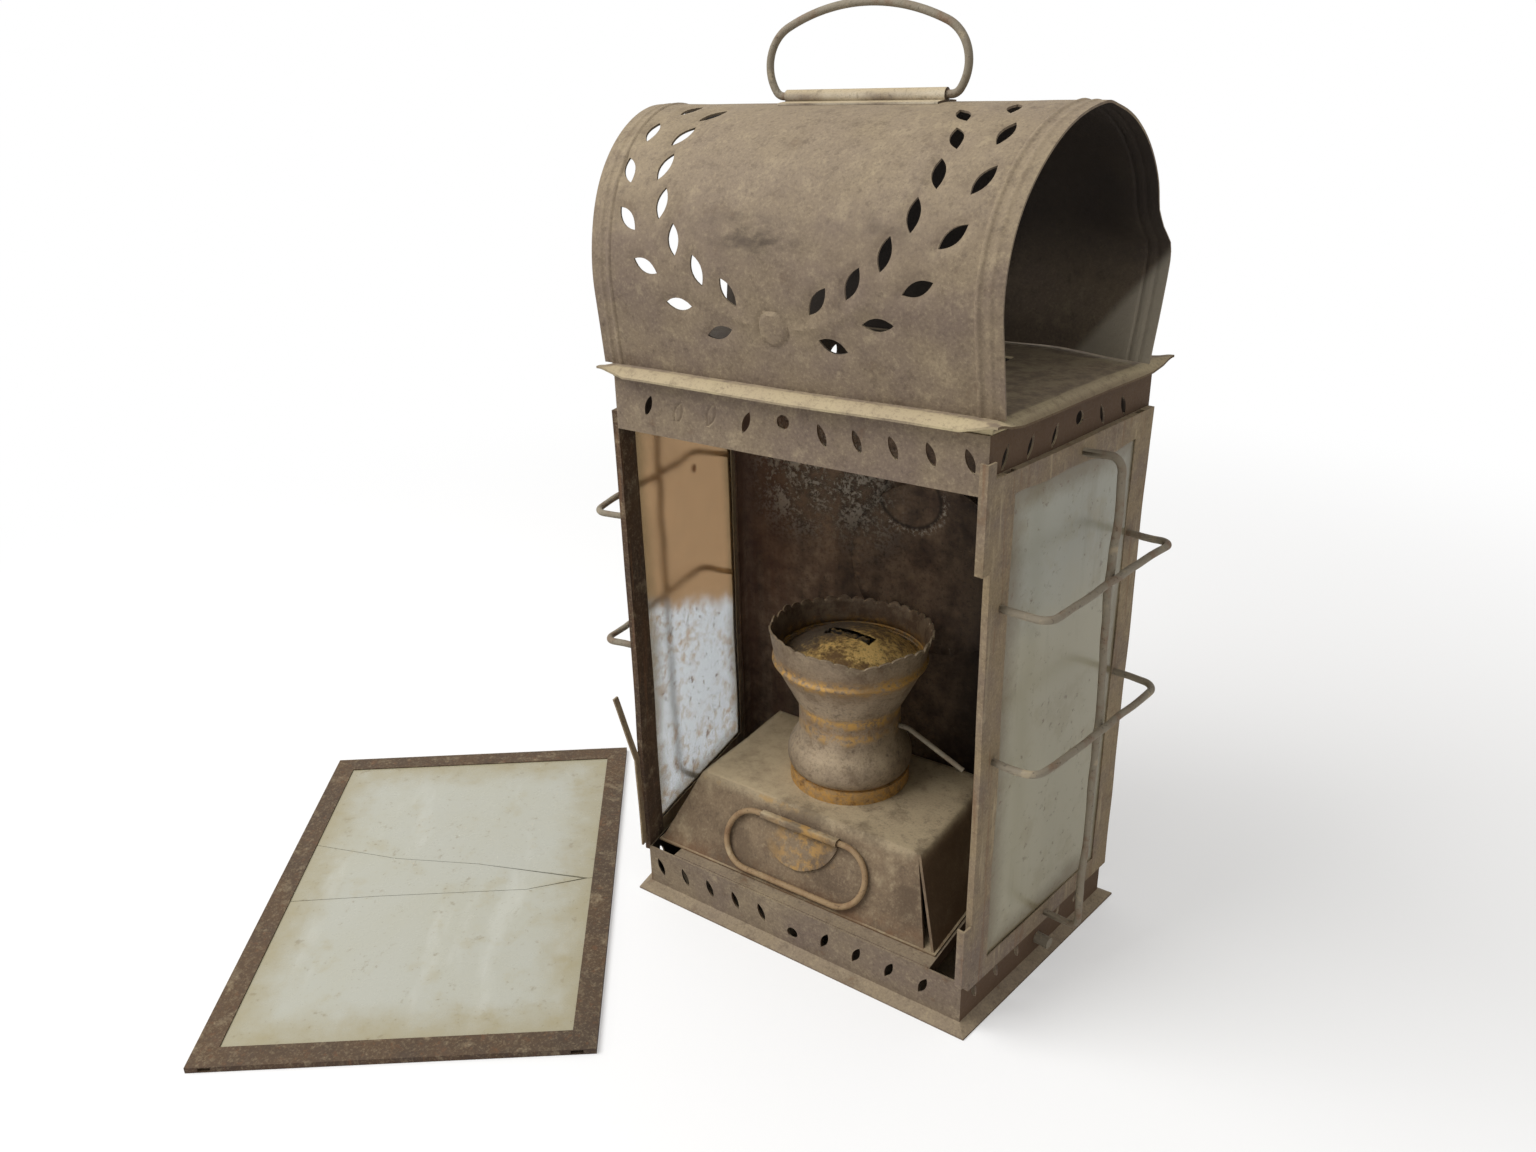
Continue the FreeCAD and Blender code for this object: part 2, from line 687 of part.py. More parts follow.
def on_hood(x, rise):
    """Point, outward normal and upward direction of the hood's front, by the rise along its sheet."""
    radius, lean = num("hood_radius"), math.radians(num("hood_lean"))
    wall = (num("hood_spring") - radius * math.sin(lean)) / math.cos(lean)
    angle = max(rise - wall, 0.0) / radius - lean
    normal = Vector(0, -math.cos(angle), math.sin(angle))
    upward = Vector(0, math.sin(angle), math.cos(angle))
    axis = Vector(x, 0, num("hood_axis"))
    return axis + normal * radius - upward * max(wall - rise, 0.0), normal, upward


def on_wreath(branch, distance, angle):
    """The same at a distance and angle about the wreath's middle; branch is 1 right and -1 left."""
    x = num("wreath_shift") + branch * distance * math.sin(angle)
    return on_hood(x, num("wreath_rise") - distance * math.cos(angle))


def wreath_leaves():
    """Middle, normal, axis and twig root of each leaf, in pairs up the two branches."""
    radius, spread = num("wreath_radius"), num("wreath_spread")
    for branch in (1, -1):
        for pair in range(int(num("wreath_pairs"))):
            angle = math.radians(num("wreath_first") + pair * num("wreath_step"))
            splay = math.radians(num("splay_first") - pair * num("splay_step"))
            twig_root = on_wreath(branch, radius, angle - num("leaf_length / 2 + twig_set") / radius)[0]
            for row in (1, -1):
                centre, normal, upward = on_wreath(branch, radius - row * spread, angle)
                heading = angle + row * splay
                along = X_AXIS * (branch * math.cos(heading)) + upward * math.sin(heading)
                yield centre, normal, along, twig_root


def stem(branch):
    """The raised rib of one branch, from under the boss to its last pair of leaves."""
    steps = 20
    first = math.asin(num("boss_radius / 2 / wreath_radius"))
    last = math.radians(num("wreath_first + wreath_step * (wreath_pairs - 1)"))
    angles = [first + (last - first) * step / steps for step in range(steps + 1)]
    curve = Part.BSplineCurve()
    curve.interpolate([on_wreath(branch, num("wreath_radius"), angle)[0] for angle in angles])
    heading = curve.tangent(curve.FirstParameter)[0]
    section = Part.Wire(Part.Circle(curve.StartPoint, heading, num("stem_width / 2")).toShape())
    return Part.Wire(curve.toShape()).makePipeShell([section], True, True)


def twig(centre, along, root):
    """The raised rib of one leaf, which ends short of its piercing."""
    end = centre - along * num("leaf_length / 2 + twig_width")
    return Part.makeCylinder(num("twig_width / 2"), (end - root).Length, root, end - root)


leaf_punches = [leaf(centre, normal, along, num("leaf_length"), num("leaf_width"), 3 * num("tin"))
                for centre, normal, along, root in wreath_leaves()]
pierced_hood = boolean("Cut", "pierced_hood", beaded_hood, punches("wreath_punches", leaf_punches))
twigs = [twig(centre, along, root) for centre, normal, along, root in wreath_leaves()]
ribs = doc.addObject("Part::Feature", "wreath_ribs")
ribs.Shape = stem(1).fuse([stem(-1)] + twigs)
ribbed_hood = boolean("Fuse", "ribbed_hood", pierced_hood, ribs)
boss = revolved("boss", [
    ("0", "-tin / 2"), ("boss_radius", "-tin / 2"), ("boss_radius", "tin / 4"), ("0", "boss_proud"),
])
boss_point, boss_normal, boss_up = on_hood(num("wreath_shift"), num("boss_rise"))
boss.Placement = Placement(boss_point, Rotation(Z_AXIS, boss_normal))
keep(boolean("Fuse", "bossed_hood", ribbed_hood, boss), "hood")

# Bail handle and the sleeve on the ridge

sleeve_tube = new_body("sleeve_tube")
pad(sleeve_tube, circle_sketch(sleeve_tube, "YZ_Plane", ["sleeve_outer", "sleeve_bore"]), "sleeve_length",
    side="Symmetric")
place(sleeve_tube, LANTERN, "bail_shift", "0", "bail_axis")
saddle_outer = cylinder("saddle_outer", "saddle_radius + saddle_thickness", "sleeve_length")
saddle_inner = cylinder("saddle_inner", "saddle_radius", "sleeve_length")
for drum in (saddle_outer, saddle_inner):
    place(drum, LANTERN, "bail_shift - sleeve_length / 2", "0", "hood_axis", Rotation(Y_AXIS, 90))
saddle_block = box("saddle_block", "sleeve_length", "saddle_width", "saddle_radius + saddle_thickness")
place(saddle_block, LANTERN, "bail_shift - sleeve_length / 2", "-saddle_width / 2", "hood_axis")
saddle = boolean("Common", "saddle", boolean("Cut", "saddle_shell", saddle_outer, saddle_inner), saddle_block)
keep(boolean("Fuse", "sleeve", sleeve_tube, saddle), "handle_sleeve")

BEND, SIDE = "(bail_bend_turn * 1deg)", "(bail_side_turn * 1deg)"
LOW_X = f"(bail_run + bail_bend * sin{BEND})"
LOW_Z = f"(bail_bend * (1 - cos{BEND}))"
HIGH_X = f"({LOW_X} + bail_side * (sin{SIDE} - sin{BEND}))"
HIGH_Z = f"({LOW_Z} + bail_side * (cos{BEND} - cos{SIDE}))"
CROWN = f"({HIGH_X} / sin{SIDE})"
bail = keep(bent_wire("bail", [
    ("0", "0"), ("bail_run", "0", "bail_bend", 1), (LOW_X, LOW_Z, "bail_side", 1),
    (HIGH_X, HIGH_Z, CROWN, 1), (f"-{HIGH_X}", HIGH_Z, "bail_side", 1),
    (f"-{LOW_X}", LOW_Z, "bail_bend", 1), ("-bail_run", "0"),
], "wire", closed=True), "bail_handle")
place(bail, LANTERN, "bail_shift", "0", "bail_axis", UPRIGHT)

# Side panels of folded channel strips that hold a pane by its edges, with wire guards outside


def channel(label, frame, corner, outward, inward, width, length):
    """A strip whose groove opens inward; corner is where its outer edge starts on the back face."""
    strip = keep(new_body(label + "_strip"), label)
    pad(strip, sketch(strip, "XY_Plane", [[
        ("0", "0"), ("frame_thickness", "0"), ("frame_thickness", width),
        ("frame_thickness - fold", width), ("frame_thickness - fold", f"{width} - groove_depth"),
        ("fold", f"{width} - groove_depth"), ("fold", width), ("0", width),
    ]]), length)
    return place(strip, frame, *corner, Rotation(outward, inward, outward.cross(inward), "XYZ"))


def side_panel(side, sign):
    """Frame and pane of one side of the lantern."""
    out, frame = X_AXIS * sign, SIDES[side]
    ends = ("panel_low", "panel_high")
    inner = ("panel_front + stile_width", "panel_rear - stile_width")
    deep = "panel_depth - 2 * stile_width"
    start = 0 if sign > 0 else 1
    channel(f"front_stile_{side}", frame, ("0", "panel_front", ends[start]), out, Y_AXIS,
            "stile_width", "panel_height")
    channel(f"rear_stile_{side}", frame, ("0", "panel_rear", ends[1 - start]), out, -Y_AXIS,
            "stile_width", "panel_height")
    channel(f"bottom_rail_{side}", frame, ("0", inner[1 - start], "panel_low"), out, Z_AXIS,
            "rail_width", deep)
    channel(f"top_rail_{side}", frame, ("0", inner[start], "panel_high"), out, -Z_AXIS,
            "rail_width", deep)
    pane = keep(box(f"pane_{side}", "pane", f"{deep} + 2 * pane_bite",
                    "panel_height - 2 * rail_width + 2 * pane_bite"), f"side_glass_{side}")
    place(pane, frame, f"{sign} * frame_thickness / 2 - pane / 2", f"{inner[0]} - pane_bite",
          "panel_low + rail_width - pane_bite")


def side_guard(side, sign):
    """Upright and two cross wires outside one pane."""
    frame, face = SIDES[side], f"{sign} * frame_thickness"
    across = Rotation() if sign > 0 else Rotation(Y_AXIS, 180)
    upwards = UPRIGHT if sign > 0 else Rotation(Z_AXIS, 180) * UPRIGHT
    for level in ("low", "high"):
        wire = staple(f"{level}_wire_{side}", "guard_reach", "(guard_rear - guard_front)", "guard_corner")
        keep(wire, f"guard_{level}_{side}")
        place(wire, frame, face, "guard_front", f"guard_{level}", across)
    upright = staple(f"upright_{side}", "(guard_reach - wire - seat_gap)", "(upright_high - upright_low)",
                     "guard_corner")
    keep(upright, f"guard_upright_{side}")
    place(upright, frame, face, "upright_y", "upright_low", upwards)


for side, sign in (("right", 1), ("left", -1)):
    side_panel(side, sign)
    side_guard(side, sign)

# Lips at the front edges; the one at the left is torn and bent outwards

for level in ("upper", "lower"):
    lip = keep(new_body(f"{level}_lip"), f"door_lip_{level}")
    pad(lip, sketch(lip, "XY_Plane", [[
        ("frame_thickness", "panel_front"), ("frame_thickness - tin", "panel_front"),
        ("frame_thickness - tin", "panel_front - lip_stand + tin"),
        ("frame_thickness - lip_reach", "panel_front - lip_stand + tin"),
        ("frame_thickness - lip_reach", "panel_front - lip_stand"),
        ("frame_thickness", "panel_front - lip_stand"),
    ]]), f"{level}_lip_length")
    place(lip, SIDES["right"], "0", "0", f"{level}_lip_low")

LEAN_OUT = "(sin(torn_turn * 1deg) * torn_length)"
LEAN_UP = "torn_straight + cos(torn_turn * 1deg) * torn_length"
torn = keep(new_body("torn_lip"), "door_lip_torn")
pad(torn, sketch(torn, "XZ_Plane", [[
    ("0", "0"), ("tin", "0"), ("tin", "torn_straight"), (f"tin - {LEAN_OUT}", LEAN_UP),
    (f"-{LEAN_OUT}", LEAN_UP), ("0", "torn_straight"),
]]), "lip_reach")
place(torn, SIDES["left"], "-frame_thickness", "panel_front", "lower_lip_low")

# Oil font: base sheet, sloped tank with its split seam, and screw collar


def frustum(body, kind, inset, low, high):
    """A loft from the tank's foot to its top, drawn in from the outside by an inset."""
    sections = []
    for level, slope in ((low, "0"), (high, "1")):
        x = f"(font_length / 2 - {slope} * font_slope_x - {inset})"
        y = f"(font_depth / 2 - {slope} * font_slope_y - {inset})"
        sections.append(sketch(body, "XY_Plane", [rectangle(f"-{x}", x, f"-{y}", y)], offset=level))
    feature(body, kind, sections[0], Sections=[sections[1]])


font_base = box("font_sheet", "font_length + 2 * font_hem", "font_depth + 2 * font_hem", "tin")
keep(font_base, "font_base")
place(font_base, FONT, "-font_length / 2 - font_hem", "-font_depth / 2 - font_hem", "0")

tank = keep(new_body("tank"), "font_tank")
frustum(tank, "AdditiveLoft", "0", "tin", "font_height")
frustum(tank, "SubtractiveLoft", "tin", "tin", "tank_height")
neck = circle_sketch(tank, "XY_Plane", ["neck_bore / 2"], offset="font_height")
neck.setExpression("AttachmentOffset.Base.x", ex("burner_x"))
neck.setExpression("AttachmentOffset.Base.y", ex("burner_y"))
pocket(tank, neck, "2 * tin")
split = sketch(tank, "XZ_Plane", [[
    ("seam - seam_gap", "0"), ("seam", "0"), ("seam - font_slope_x", "tank_height"),
]])
pocket(tank, split, "font_depth", reverse=True)
place(tank, FONT, "0", "0", "0")

collar = revolved("collar", rectangle("collar_bore", "collar_radius", "0", "collar_height"))
keep(collar, "font_collar")
place(collar, BURNER, "0", "0", "font_height")

# Burner: bowl and flared throat in one sheet, air plate, toothed gallery cup and flame dome


def throat_face(inset):
    """Corners up one face of the throat, from its foot to its mouth."""
    return [
        (f"bowl_foot - {inset}", "0", "bowl_height / 3", 1),
        (f"bowl_radius - {inset}", "bowl_level", "bowl_height * 2 / 3", 1),
        (f"bowl_radius - shoulder_draw - {inset}", "bowl_level + shoulder_rise", "bowl_height * 2 / 3", -1),
        (f"waist_radius - {inset}", "bowl_height"),
        (f"waist_radius - {inset}", "bowl_height + waist_height"),
        (f"cup_radius - {inset}", "throat_height"),
    ]


throat = revolved("throat", throat_face("0") + turned_back(throat_face("tin")))
place(throat, BURNER, "0", "0", "collar_top")
bearings = cylinder("bearings", "spindle / 2 + running_fit", "4 * cup_radius")
place(bearings, BURNER, "-2 * cup_radius", "spindle_y", "spindle_level", Rotation(Y_AXIS, 90))
keep(boolean("Cut", "bored_throat", throat, bearings), "burner_throat")

air_plate = keep(new_body("air_sheet"), "burner_air_plate")
pad(air_plate, circle_sketch(air_plate, "XY_Plane", ["bowl_foot - tin - seat_gap"]), "tin")
pocket(air_plate, sketch(air_plate, "XY_Plane", [rectangle(
    "-(tube_x) - running_fit", "tube_x + running_fit", "-(tube_y) - running_fit", "tube_y + running_fit",
)]), "tin", reverse=True)
place(air_plate, BURNER, "0", "0", "collar_top")

cup = keep(revolved("cup", [
    ("cup_radius - tin", "0"), ("cup_radius + cup_bead", "0"), ("cup_radius + cup_bead", "2 * tin"),
    ("cup_radius", "3 * tin"), ("cup_radius", "cup_height"), ("cup_radius - tin", "cup_height"),
]), "gallery_cup")
notch = pocket(cup, sketch(cup, "XZ_Plane", [[
    ("notch_width / 2", "cup_height + tin"), ("-notch_width / 2", "cup_height + tin"),
    ("-notch_width / 3", "cup_height - notch_depth / 2"), ("0", "cup_height - notch_depth"),
    ("notch_width / 3", "cup_height - notch_depth / 2"),
]]), "2 * cup_radius")
teeth = cup.newObject("PartDesign::PolarPattern", "cup_teeth")
teeth.Originals = [notch]
teeth.Axis = ([part for part in cup.Origin.OriginFeatures if part.Role == "Z_Axis"][0], [""])
teeth.Angle = 360
teeth.setExpression("Occurrences", ex("tooth_count"))
cup.Tip = teeth
place(cup, BURNER, "0", "0", "throat_top")

dome = keep(revolved("dome", [
    ("0", "dome_height - tin", "dome_curve", -1), ("dome_radius - tin", "-tin / 2"),
    ("dome_radius", "0", "dome_curve", 1), ("0", "dome_height"),
]), "flame_dome")
pocket(dome, sketch(dome, "XY_Plane", [rectangle(
    "-(tube_x) - slot_margin", "tube_x + slot_margin", "-(tube_y) - slot_margin", "tube_y + slot_margin",
)]), "2 * dome_height", reverse=True)
place(dome, BURNER, "0", "0", "throat_top")

# Wick in its flat tube, and the spindle whose star wheels drive it

tube = keep(new_body("tube"), "wick_tube")
pad(tube, sketch(tube, "XY_Plane", [
    rectangle("-(tube_x)", "tube_x", "-(tube_y)", "tube_y"),
    rectangle("-(tube_x) + tube_wall", "tube_x - tube_wall", "-(tube_y) + tube_wall", "tube_y - tube_wall"),
], offset="tube_low"), "tube_top - tube_low")
WINDOW_X = "(wheel_spacing / 2 + wheel_width)"
WINDOW_Z = "(wheel_radius + tin)"
pocket(tube, sketch(tube, "XZ_Plane", [rectangle(
    f"-{WINDOW_X}", WINDOW_X, f"spindle_level - {WINDOW_Z}", f"spindle_level + {WINDOW_Z}",
)]), "2 * tube_y")
place(tube, BURNER, "0", "0", "0")

wick = keep(box("wick_strip", "wick_width", "wick_thickness", "wick_top - wick_low"), "wick")
place(wick, BURNER, "-wick_width / 2", "-wick_thickness / 2", "wick_low")

TAIL = "(spindle_turn * 1deg)"
SPAN = "(spindle_left + spindle_right)"
TAIL_X, TAIL_Z = f"{SPAN} + spindle_bend * sin{TAIL}", f"-spindle_bend * (1 - cos{TAIL})"
spindle = keep(bent_wire("spindle_rod", [
    ("0", "0"), (SPAN, "0", "spindle_bend", -1), (TAIL_X, TAIL_Z),
    (f"{TAIL_X} + spindle_tail * cos{TAIL}", f"{TAIL_Z} - spindle_tail * sin{TAIL}"),
], "spindle"), "wick_spindle")
place(spindle, BURNER, "-(spindle_left)", "spindle_y", "spindle_level", UPRIGHT)


def star(tooth_count):
    """Corners of a star wheel between its tip and root radii."""
    corners = []
    for index in range(2 * tooth_count):
        radius = "wheel_radius" if index % 2 else "wheel_root"
        angle = f"({index * 180 / tooth_count} * 1deg)"
        corners.append((f"{radius} * cos{angle}", f"{radius} * sin{angle}"))
    return corners


for side, sign in (("right", 1), ("left", -1)):
    wheel = keep(new_body(f"star_{side}"), f"wick_wheel_{side}")
    pad(wheel, sketch(wheel, "YZ_Plane", [star(int(num("wheel_teeth")))]), "wheel_width", side="Symmetric")
    pocket(wheel, circle_sketch(wheel, "YZ_Plane", ["(spindle + running_fit) / 2"]), "2 * wheel_width",
           side="Symmetric")
    place(wheel, BURNER, f"{sign} * wheel_spacing / 2", "spindle_y", "spindle_level")

# Pull ring on the sloped front, in the rolled edge of its tongue

SLOPE = Rotation(X_AXIS, math.degrees(math.atan2(num("tank_height"), num("font_slope_y"))))
RING_Y = "-font_depth / 2 + (ring_level * font_slope_y - knuckle * tank_height) / tank_slant"
RING_Z = "tin + (ring_level * tank_height + knuckle * font_slope_y) / tank_slant"

tongue = keep(new_body("tongue"), "pull_tongue")
pad(tongue, circle_sketch(tongue, "YZ_Plane", ["knuckle", "ring_wire / 2 + running_fit"]), "2 * tongue_half",
    side="Symmetric")
pad(tongue, sketch(tongue, "XY_Plane", [[
    ("tongue_half", "0"), ("-tongue_half", "0", "tongue_curve", 1), ("0", "-tongue_drop", "tongue_curve", 1),
]], offset="-(knuckle)"), "tongue_thickness")
place(tongue, FONT, "0", RING_Y, RING_Z, SLOPE)

ring = keep(bent_wire("ring_loop", [
    ("0", "0"), ("ring_run", "0", "ring_end", -1), ("ring_run + ring_end", "-ring_end", "ring_end", -1),
    ("ring_run", "-2 * ring_end"), ("-(ring_run)", "-2 * ring_end", "ring_end", -1),
    ("-(ring_run) - ring_end", "-ring_end", "ring_end", -1), ("-(ring_run)", "0"),
], "ring_wire", closed=True), "pull_ring")
place(ring, FONT, "0", RING_Y, RING_Z, SLOPE)

# Door: four channel strips round a pane that is cracked in three

LEFT, RIGHT, LOW, HIGH = "-door_width / 2", "door_width / 2", "-door_height / 2", "door_height / 2"
channel("door_stile_left", DOOR, (LEFT, LOW, "0"), Z_AXIS, X_AXIS, "door_strip", "door_height")
channel("door_stile_right", DOOR, (RIGHT, HIGH, "0"), Z_AXIS, -X_AXIS, "door_strip", "door_height")
channel("door_rail_bottom", DOOR, (f"{RIGHT} - door_strip", LOW, "0"), Z_AXIS, Y_AXIS, "door_strip",
        "door_width - 2 * door_strip")
channel("door_rail_top", DOOR, (f"{LEFT} + door_strip", HIGH, "0"), Z_AXIS, -Y_AXIS, "door_strip",
        "door_width - 2 * door_strip")

# Each crack runs from the left edge to where the two meet near the right one, as shares of the pane
UPPER_CRACK = [(-1.0, 0.32), (-0.37, 0.175), (0.18, 0.105)]
LOWER_CRACK = [(-1.0, -0.105), (-0.38, -0.095), (0.53, -0.095)]
MEETING = [(0.91, -0.035), (1.0, -0.035)]
WEDGE_TIP = [(0.87, -0.035)]


def crack_edge(line, side):
    """One edge of a crack's gap; side is 1 above it, -1 below it and 0 along it."""
    return [(f"{x} * door_pane_x", f"{y} * door_pane_y + {side} * crack / 2") for x, y in line]


SHARDS = {
    "door_glass_top": crack_edge(UPPER_CRACK + MEETING, 1) + crack_edge([(1, 1), (-1, 1)], 0),
    "door_glass_wedge": crack_edge(LOWER_CRACK, 1) + crack_edge(WEDGE_TIP, 0)
    + crack_edge(UPPER_CRACK, -1)[::-1],
    "door_glass_bottom": crack_edge([(-1, -1), (1, -1)], 0) + crack_edge(LOWER_CRACK + MEETING, -1)[::-1],
}
for label, corners in SHARDS.items():
    shard = keep(new_body(label + "_shard"), label)
    pad(shard, sketch(shard, "XY_Plane", [corners]), "pane")
    place(shard, DOOR, "0", "0", "(frame_thickness - pane) / 2")

doc.recompute()

for obj in doc.Objects:
    if "Invalid" in obj.State or "Error" in obj.State:
        raise RuntimeError(f"{obj.Label} failed: {obj.State}")
for piece in pieces:
    if piece.Shape.isNull() or not piece.Shape.isValid():
        raise RuntimeError(f"{piece.Label} has no valid shape")

os.makedirs("parts", exist_ok=True)
for piece in pieces:
    piece.Shape.exportStep(f"parts/{piece.Label}.step")
    print(piece.Label, len(piece.Shape.Solids), round(piece.Shape.Volume, 1))
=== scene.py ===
import math

import bpy
import numpy as np
from bpy.props import FloatProperty, FloatVectorProperty, PointerProperty
from bpy.types import Operator, Panel, PropertyGroup
from mathutils import Matrix, Vector


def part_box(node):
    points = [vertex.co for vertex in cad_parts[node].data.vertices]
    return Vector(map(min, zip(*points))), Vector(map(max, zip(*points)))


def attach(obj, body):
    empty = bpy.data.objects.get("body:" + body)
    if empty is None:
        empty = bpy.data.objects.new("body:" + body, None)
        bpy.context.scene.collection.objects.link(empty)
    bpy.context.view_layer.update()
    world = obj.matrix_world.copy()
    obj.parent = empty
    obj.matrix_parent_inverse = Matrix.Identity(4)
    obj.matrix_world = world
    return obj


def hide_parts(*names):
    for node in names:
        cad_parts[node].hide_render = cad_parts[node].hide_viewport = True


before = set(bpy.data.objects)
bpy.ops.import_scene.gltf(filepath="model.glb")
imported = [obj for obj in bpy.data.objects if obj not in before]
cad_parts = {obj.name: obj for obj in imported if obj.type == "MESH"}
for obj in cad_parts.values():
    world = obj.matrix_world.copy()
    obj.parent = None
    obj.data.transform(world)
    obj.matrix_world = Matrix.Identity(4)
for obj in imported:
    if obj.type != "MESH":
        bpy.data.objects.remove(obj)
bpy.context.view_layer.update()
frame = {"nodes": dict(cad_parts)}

bl_info = {
    "name": "Tinplate Hand Lantern",
    "version": (1, 0, 0),
    "blender": (4, 5, 0),
    "location": "View3D > Sidebar > Lantern",
    "description": "Finishes the pieces of an old tinplate hand lantern",
    "category": "Object",
}

MM = 0.001
TIN = 0.8 * MM

# Hood: an arch on leaning walls, its ends slanted like the sides of the body
HOOD_AXIS = 283.1 * MM
HOOD_RADIUS = 55.302 * MM
HOOD_LEAN = math.radians(8.0)
HOOD_WALL = 28.481 * MM
HOOD_SHEET = 2.0 * HOOD_WALL + HOOD_RADIUS * (math.pi + 2.0 * HOOD_LEAN)
HOOD_RIGHT = 89.44 * MM
HOOD_LEFT = 91.67 * MM
HOOD_INNER = 48.0 * MM
SIDE_FLARE = 0.1548
SLEEVE_HALF = 36.0 * MM
BEAD_PROUD = 0.7 * MM
BEAD_HALF = 1.1 * MM

# Laurel wreath on its front, placed by the rise along the sheet, and the headings of its leaves in degrees
WREATH_X = -3.0 * MM
WREATH_RISE = 84.0 * MM
WREATH_RADIUS = 62.5 * MM
WREATH_SPREAD = 7.9 * MM
LEAF_HALF = 5.8 * MM
LEAF_WIDE = 2.35 * MM
LEAF_PAIRS, LEAF_FIRST, LEAF_STEP = 7, 19.6, 15.7
SPLAY_FIRST, SPLAY_STEP = 36.0, 4.0
PUNCH_HALF = 4.0 * MM

# Soot and painted shade inside the hood lie thick left of the first place, and thin right of the second
SOOT_SHADE_THICK, SOOT_SHADE_THIN = 15.0 * MM, 45.0 * MM

# Burner axis and levels, and its rusty rings by level, half height and strength
BURNER = Vector((-7.039, 6.002, 0.0)) * MM
WAIST_TOP = 93.3 * MM
THROAT_TOP = 113.8 * MM
FLARE_DRAW = 2.3 * MM
CUP_TOP = 130.7 * MM
TOOTH_ROOT = 127.5 * MM
RUST_RINGS = ((115.5, 5.0, 1.0), (93.5, 4.2, 1.0), (85.5, 3.6, 0.85))

# Font: the level of its top edge, the middle of the tongue on its front, and the way the tongue faces
FONT_RIDGE = 54.8 * MM
TONGUE = Vector((-4.0, 0.0, 40.5)) * MM
TONGUE_OUT = np.array([0.0, -0.91, 0.415])

# Marks: the crust and the loop on the back wall, the blot on the left pane
CRUST = Vector((-47.0, 0.0, 172.0)) * MM
LOOP = Vector((-2.0, 0.0, 174.5)) * MM
BLOT = Vector((0.0, 6.0, 186.0)) * MM

# Open part of a side pane and of the door's pane, from their middles
PANE_LEVEL = 124.5 * MM
PANE_HALF = Vector((0.0, 40.5, 95.2)) * MM
DOOR_PANE_HALF = Vector((69.6, 97.4, 0.0)) * MM

# Leaves of the upper band that were struck but not cut through
STRUCK_LEAVES = [Vector((x * MM, -53.0 * MM, z * MM)) for x, z in ((-47.3, 232.2), (-31.7, 233.9))]

# How the door lies
DOOR_TURN = math.radians(37.6)

# Camera's film width in millimetres and its shift, and the lamp's size and places in metres
SENSOR_WIDTH = 36.0
CAMERA_SHIFT = (0.023628, -0.018083)
LAMP_SIZE = 0.9
LAMP_PLACE = Vector((-0.58, -0.62, 1.22))
LAMP_AIM = Vector((0.0, 0.0, 0.18))


def shade(code):
    """A colour written as six sRGB hex digits, as linear values."""
    values = [int(code[index:index + 2], 16) / 255 for index in (0, 2, 4)]
    return tuple(v / 12.92 if v < 0.04045 else ((v + 0.055) / 1.055) ** 2.4 for v in values) + (1.0,)


def tint(name, description, code):
    """A colour property."""
    return FloatVectorProperty(name=name, description=description, subtype="COLOR", size=4, min=0.0,
                               max=1.0, default=shade(code))


def length(name, description, millimetres):
    """A length property."""
    return FloatProperty(name=name, description=description, unit="LENGTH", subtype="DISTANCE", precision=5,
                         default=millimetres * MM)


class LanternFinish(PropertyGroup):
    tin: tint("Tin", "Dull tinplate of the outside", "7B6C58")
    tin_deep: tint("Tin, deep", "Darker patches of the tinplate", "6D5E52")
    dust: tint("Dust", "Pale dust that lies on faces that look up", "AE9E80")
    rim: tint("Rim", "Paler tin of the rim and top plate", "B4A683")
    sleeve: tint("Sleeve", "Grey tin of the handle's sleeve", "C2B7A2")
    # Painted shade with some rust: dark brown for faces that look right, on the right end and the font; also
    # the door strips' darker patches
    shaded: tint("Shaded tin", "Brown tin of the right end, under rim and panel", "49331F")
    rust: tint("Rust", "Brown rust of the tinplate", "6A4A31")
    ochre: tint("Ochre", "Yellow rust on the burner and on worn edges", "A87A34")
    soot: tint("Soot", "Lamp soot on the back wall", "2B221B")
    lime: tint("Lime", "Whitish crust on the back wall", "A79F92")
    frame: tint("Frame", "Channel strips that hold the panes", "7F6E54")
    door_strip: tint("Door strip", "Dark channel strips of the door", "3C2C20")
    # Also the painted shade with rust on the left front stile
    wire: tint("Wire", "Guard wires and handle", "7E7565")
    ring: tint("Pull ring", "Brown wire of the font's pull ring", "8E7657")
    pane: tint("Pane", "Film on the right pane", "B0AFA0")
    washed: tint("Washed pane", "Clear lower part of the left pane", "E4EAEE")
    # Painted view through the left pane: the tan seen through its upper part, also used for tan dabs below
    smoked: tint("Smoked pane", "Tan film on the upper part of the left pane", "C09F79")
    grime: tint("Grime", "Brown dirt along the edges of the glass", "7A6A4C")
    door_pane: tint("Door pane", "Milky film on the glass of the door", "B0B0A4")
    wick: tint("Wick", "Unburnt cotton of the wick", "8C7B62")
    char: tint("Char", "Burnt end of the wick", "17130F")


class LanternShape(PropertyGroup):
    waver: length("Waver", "How far hand-bent sheets stray from true", 1.1)
    waver_size: length("Waver size", "Size of the swells in hand-bent sheets", 55.0)
    leaf_dish: length("Leaf dish", "How deep the punch pressed the edge of a leaf", 0.7)
    mark_depth: length("Mark depth", "Depth of the two leaves that were struck but not cut through", 0.45)
    eave_drop: length("Eave drop", "How far the rim of the top plate is bent down", 2.8)
    crumb_height: length("Crumb height", "Relief of the rust crumbs on the flame dome", 3.0)
    weave_depth: length("Weave depth", "Depth of the furrows between the threads of the wick", 0.35)


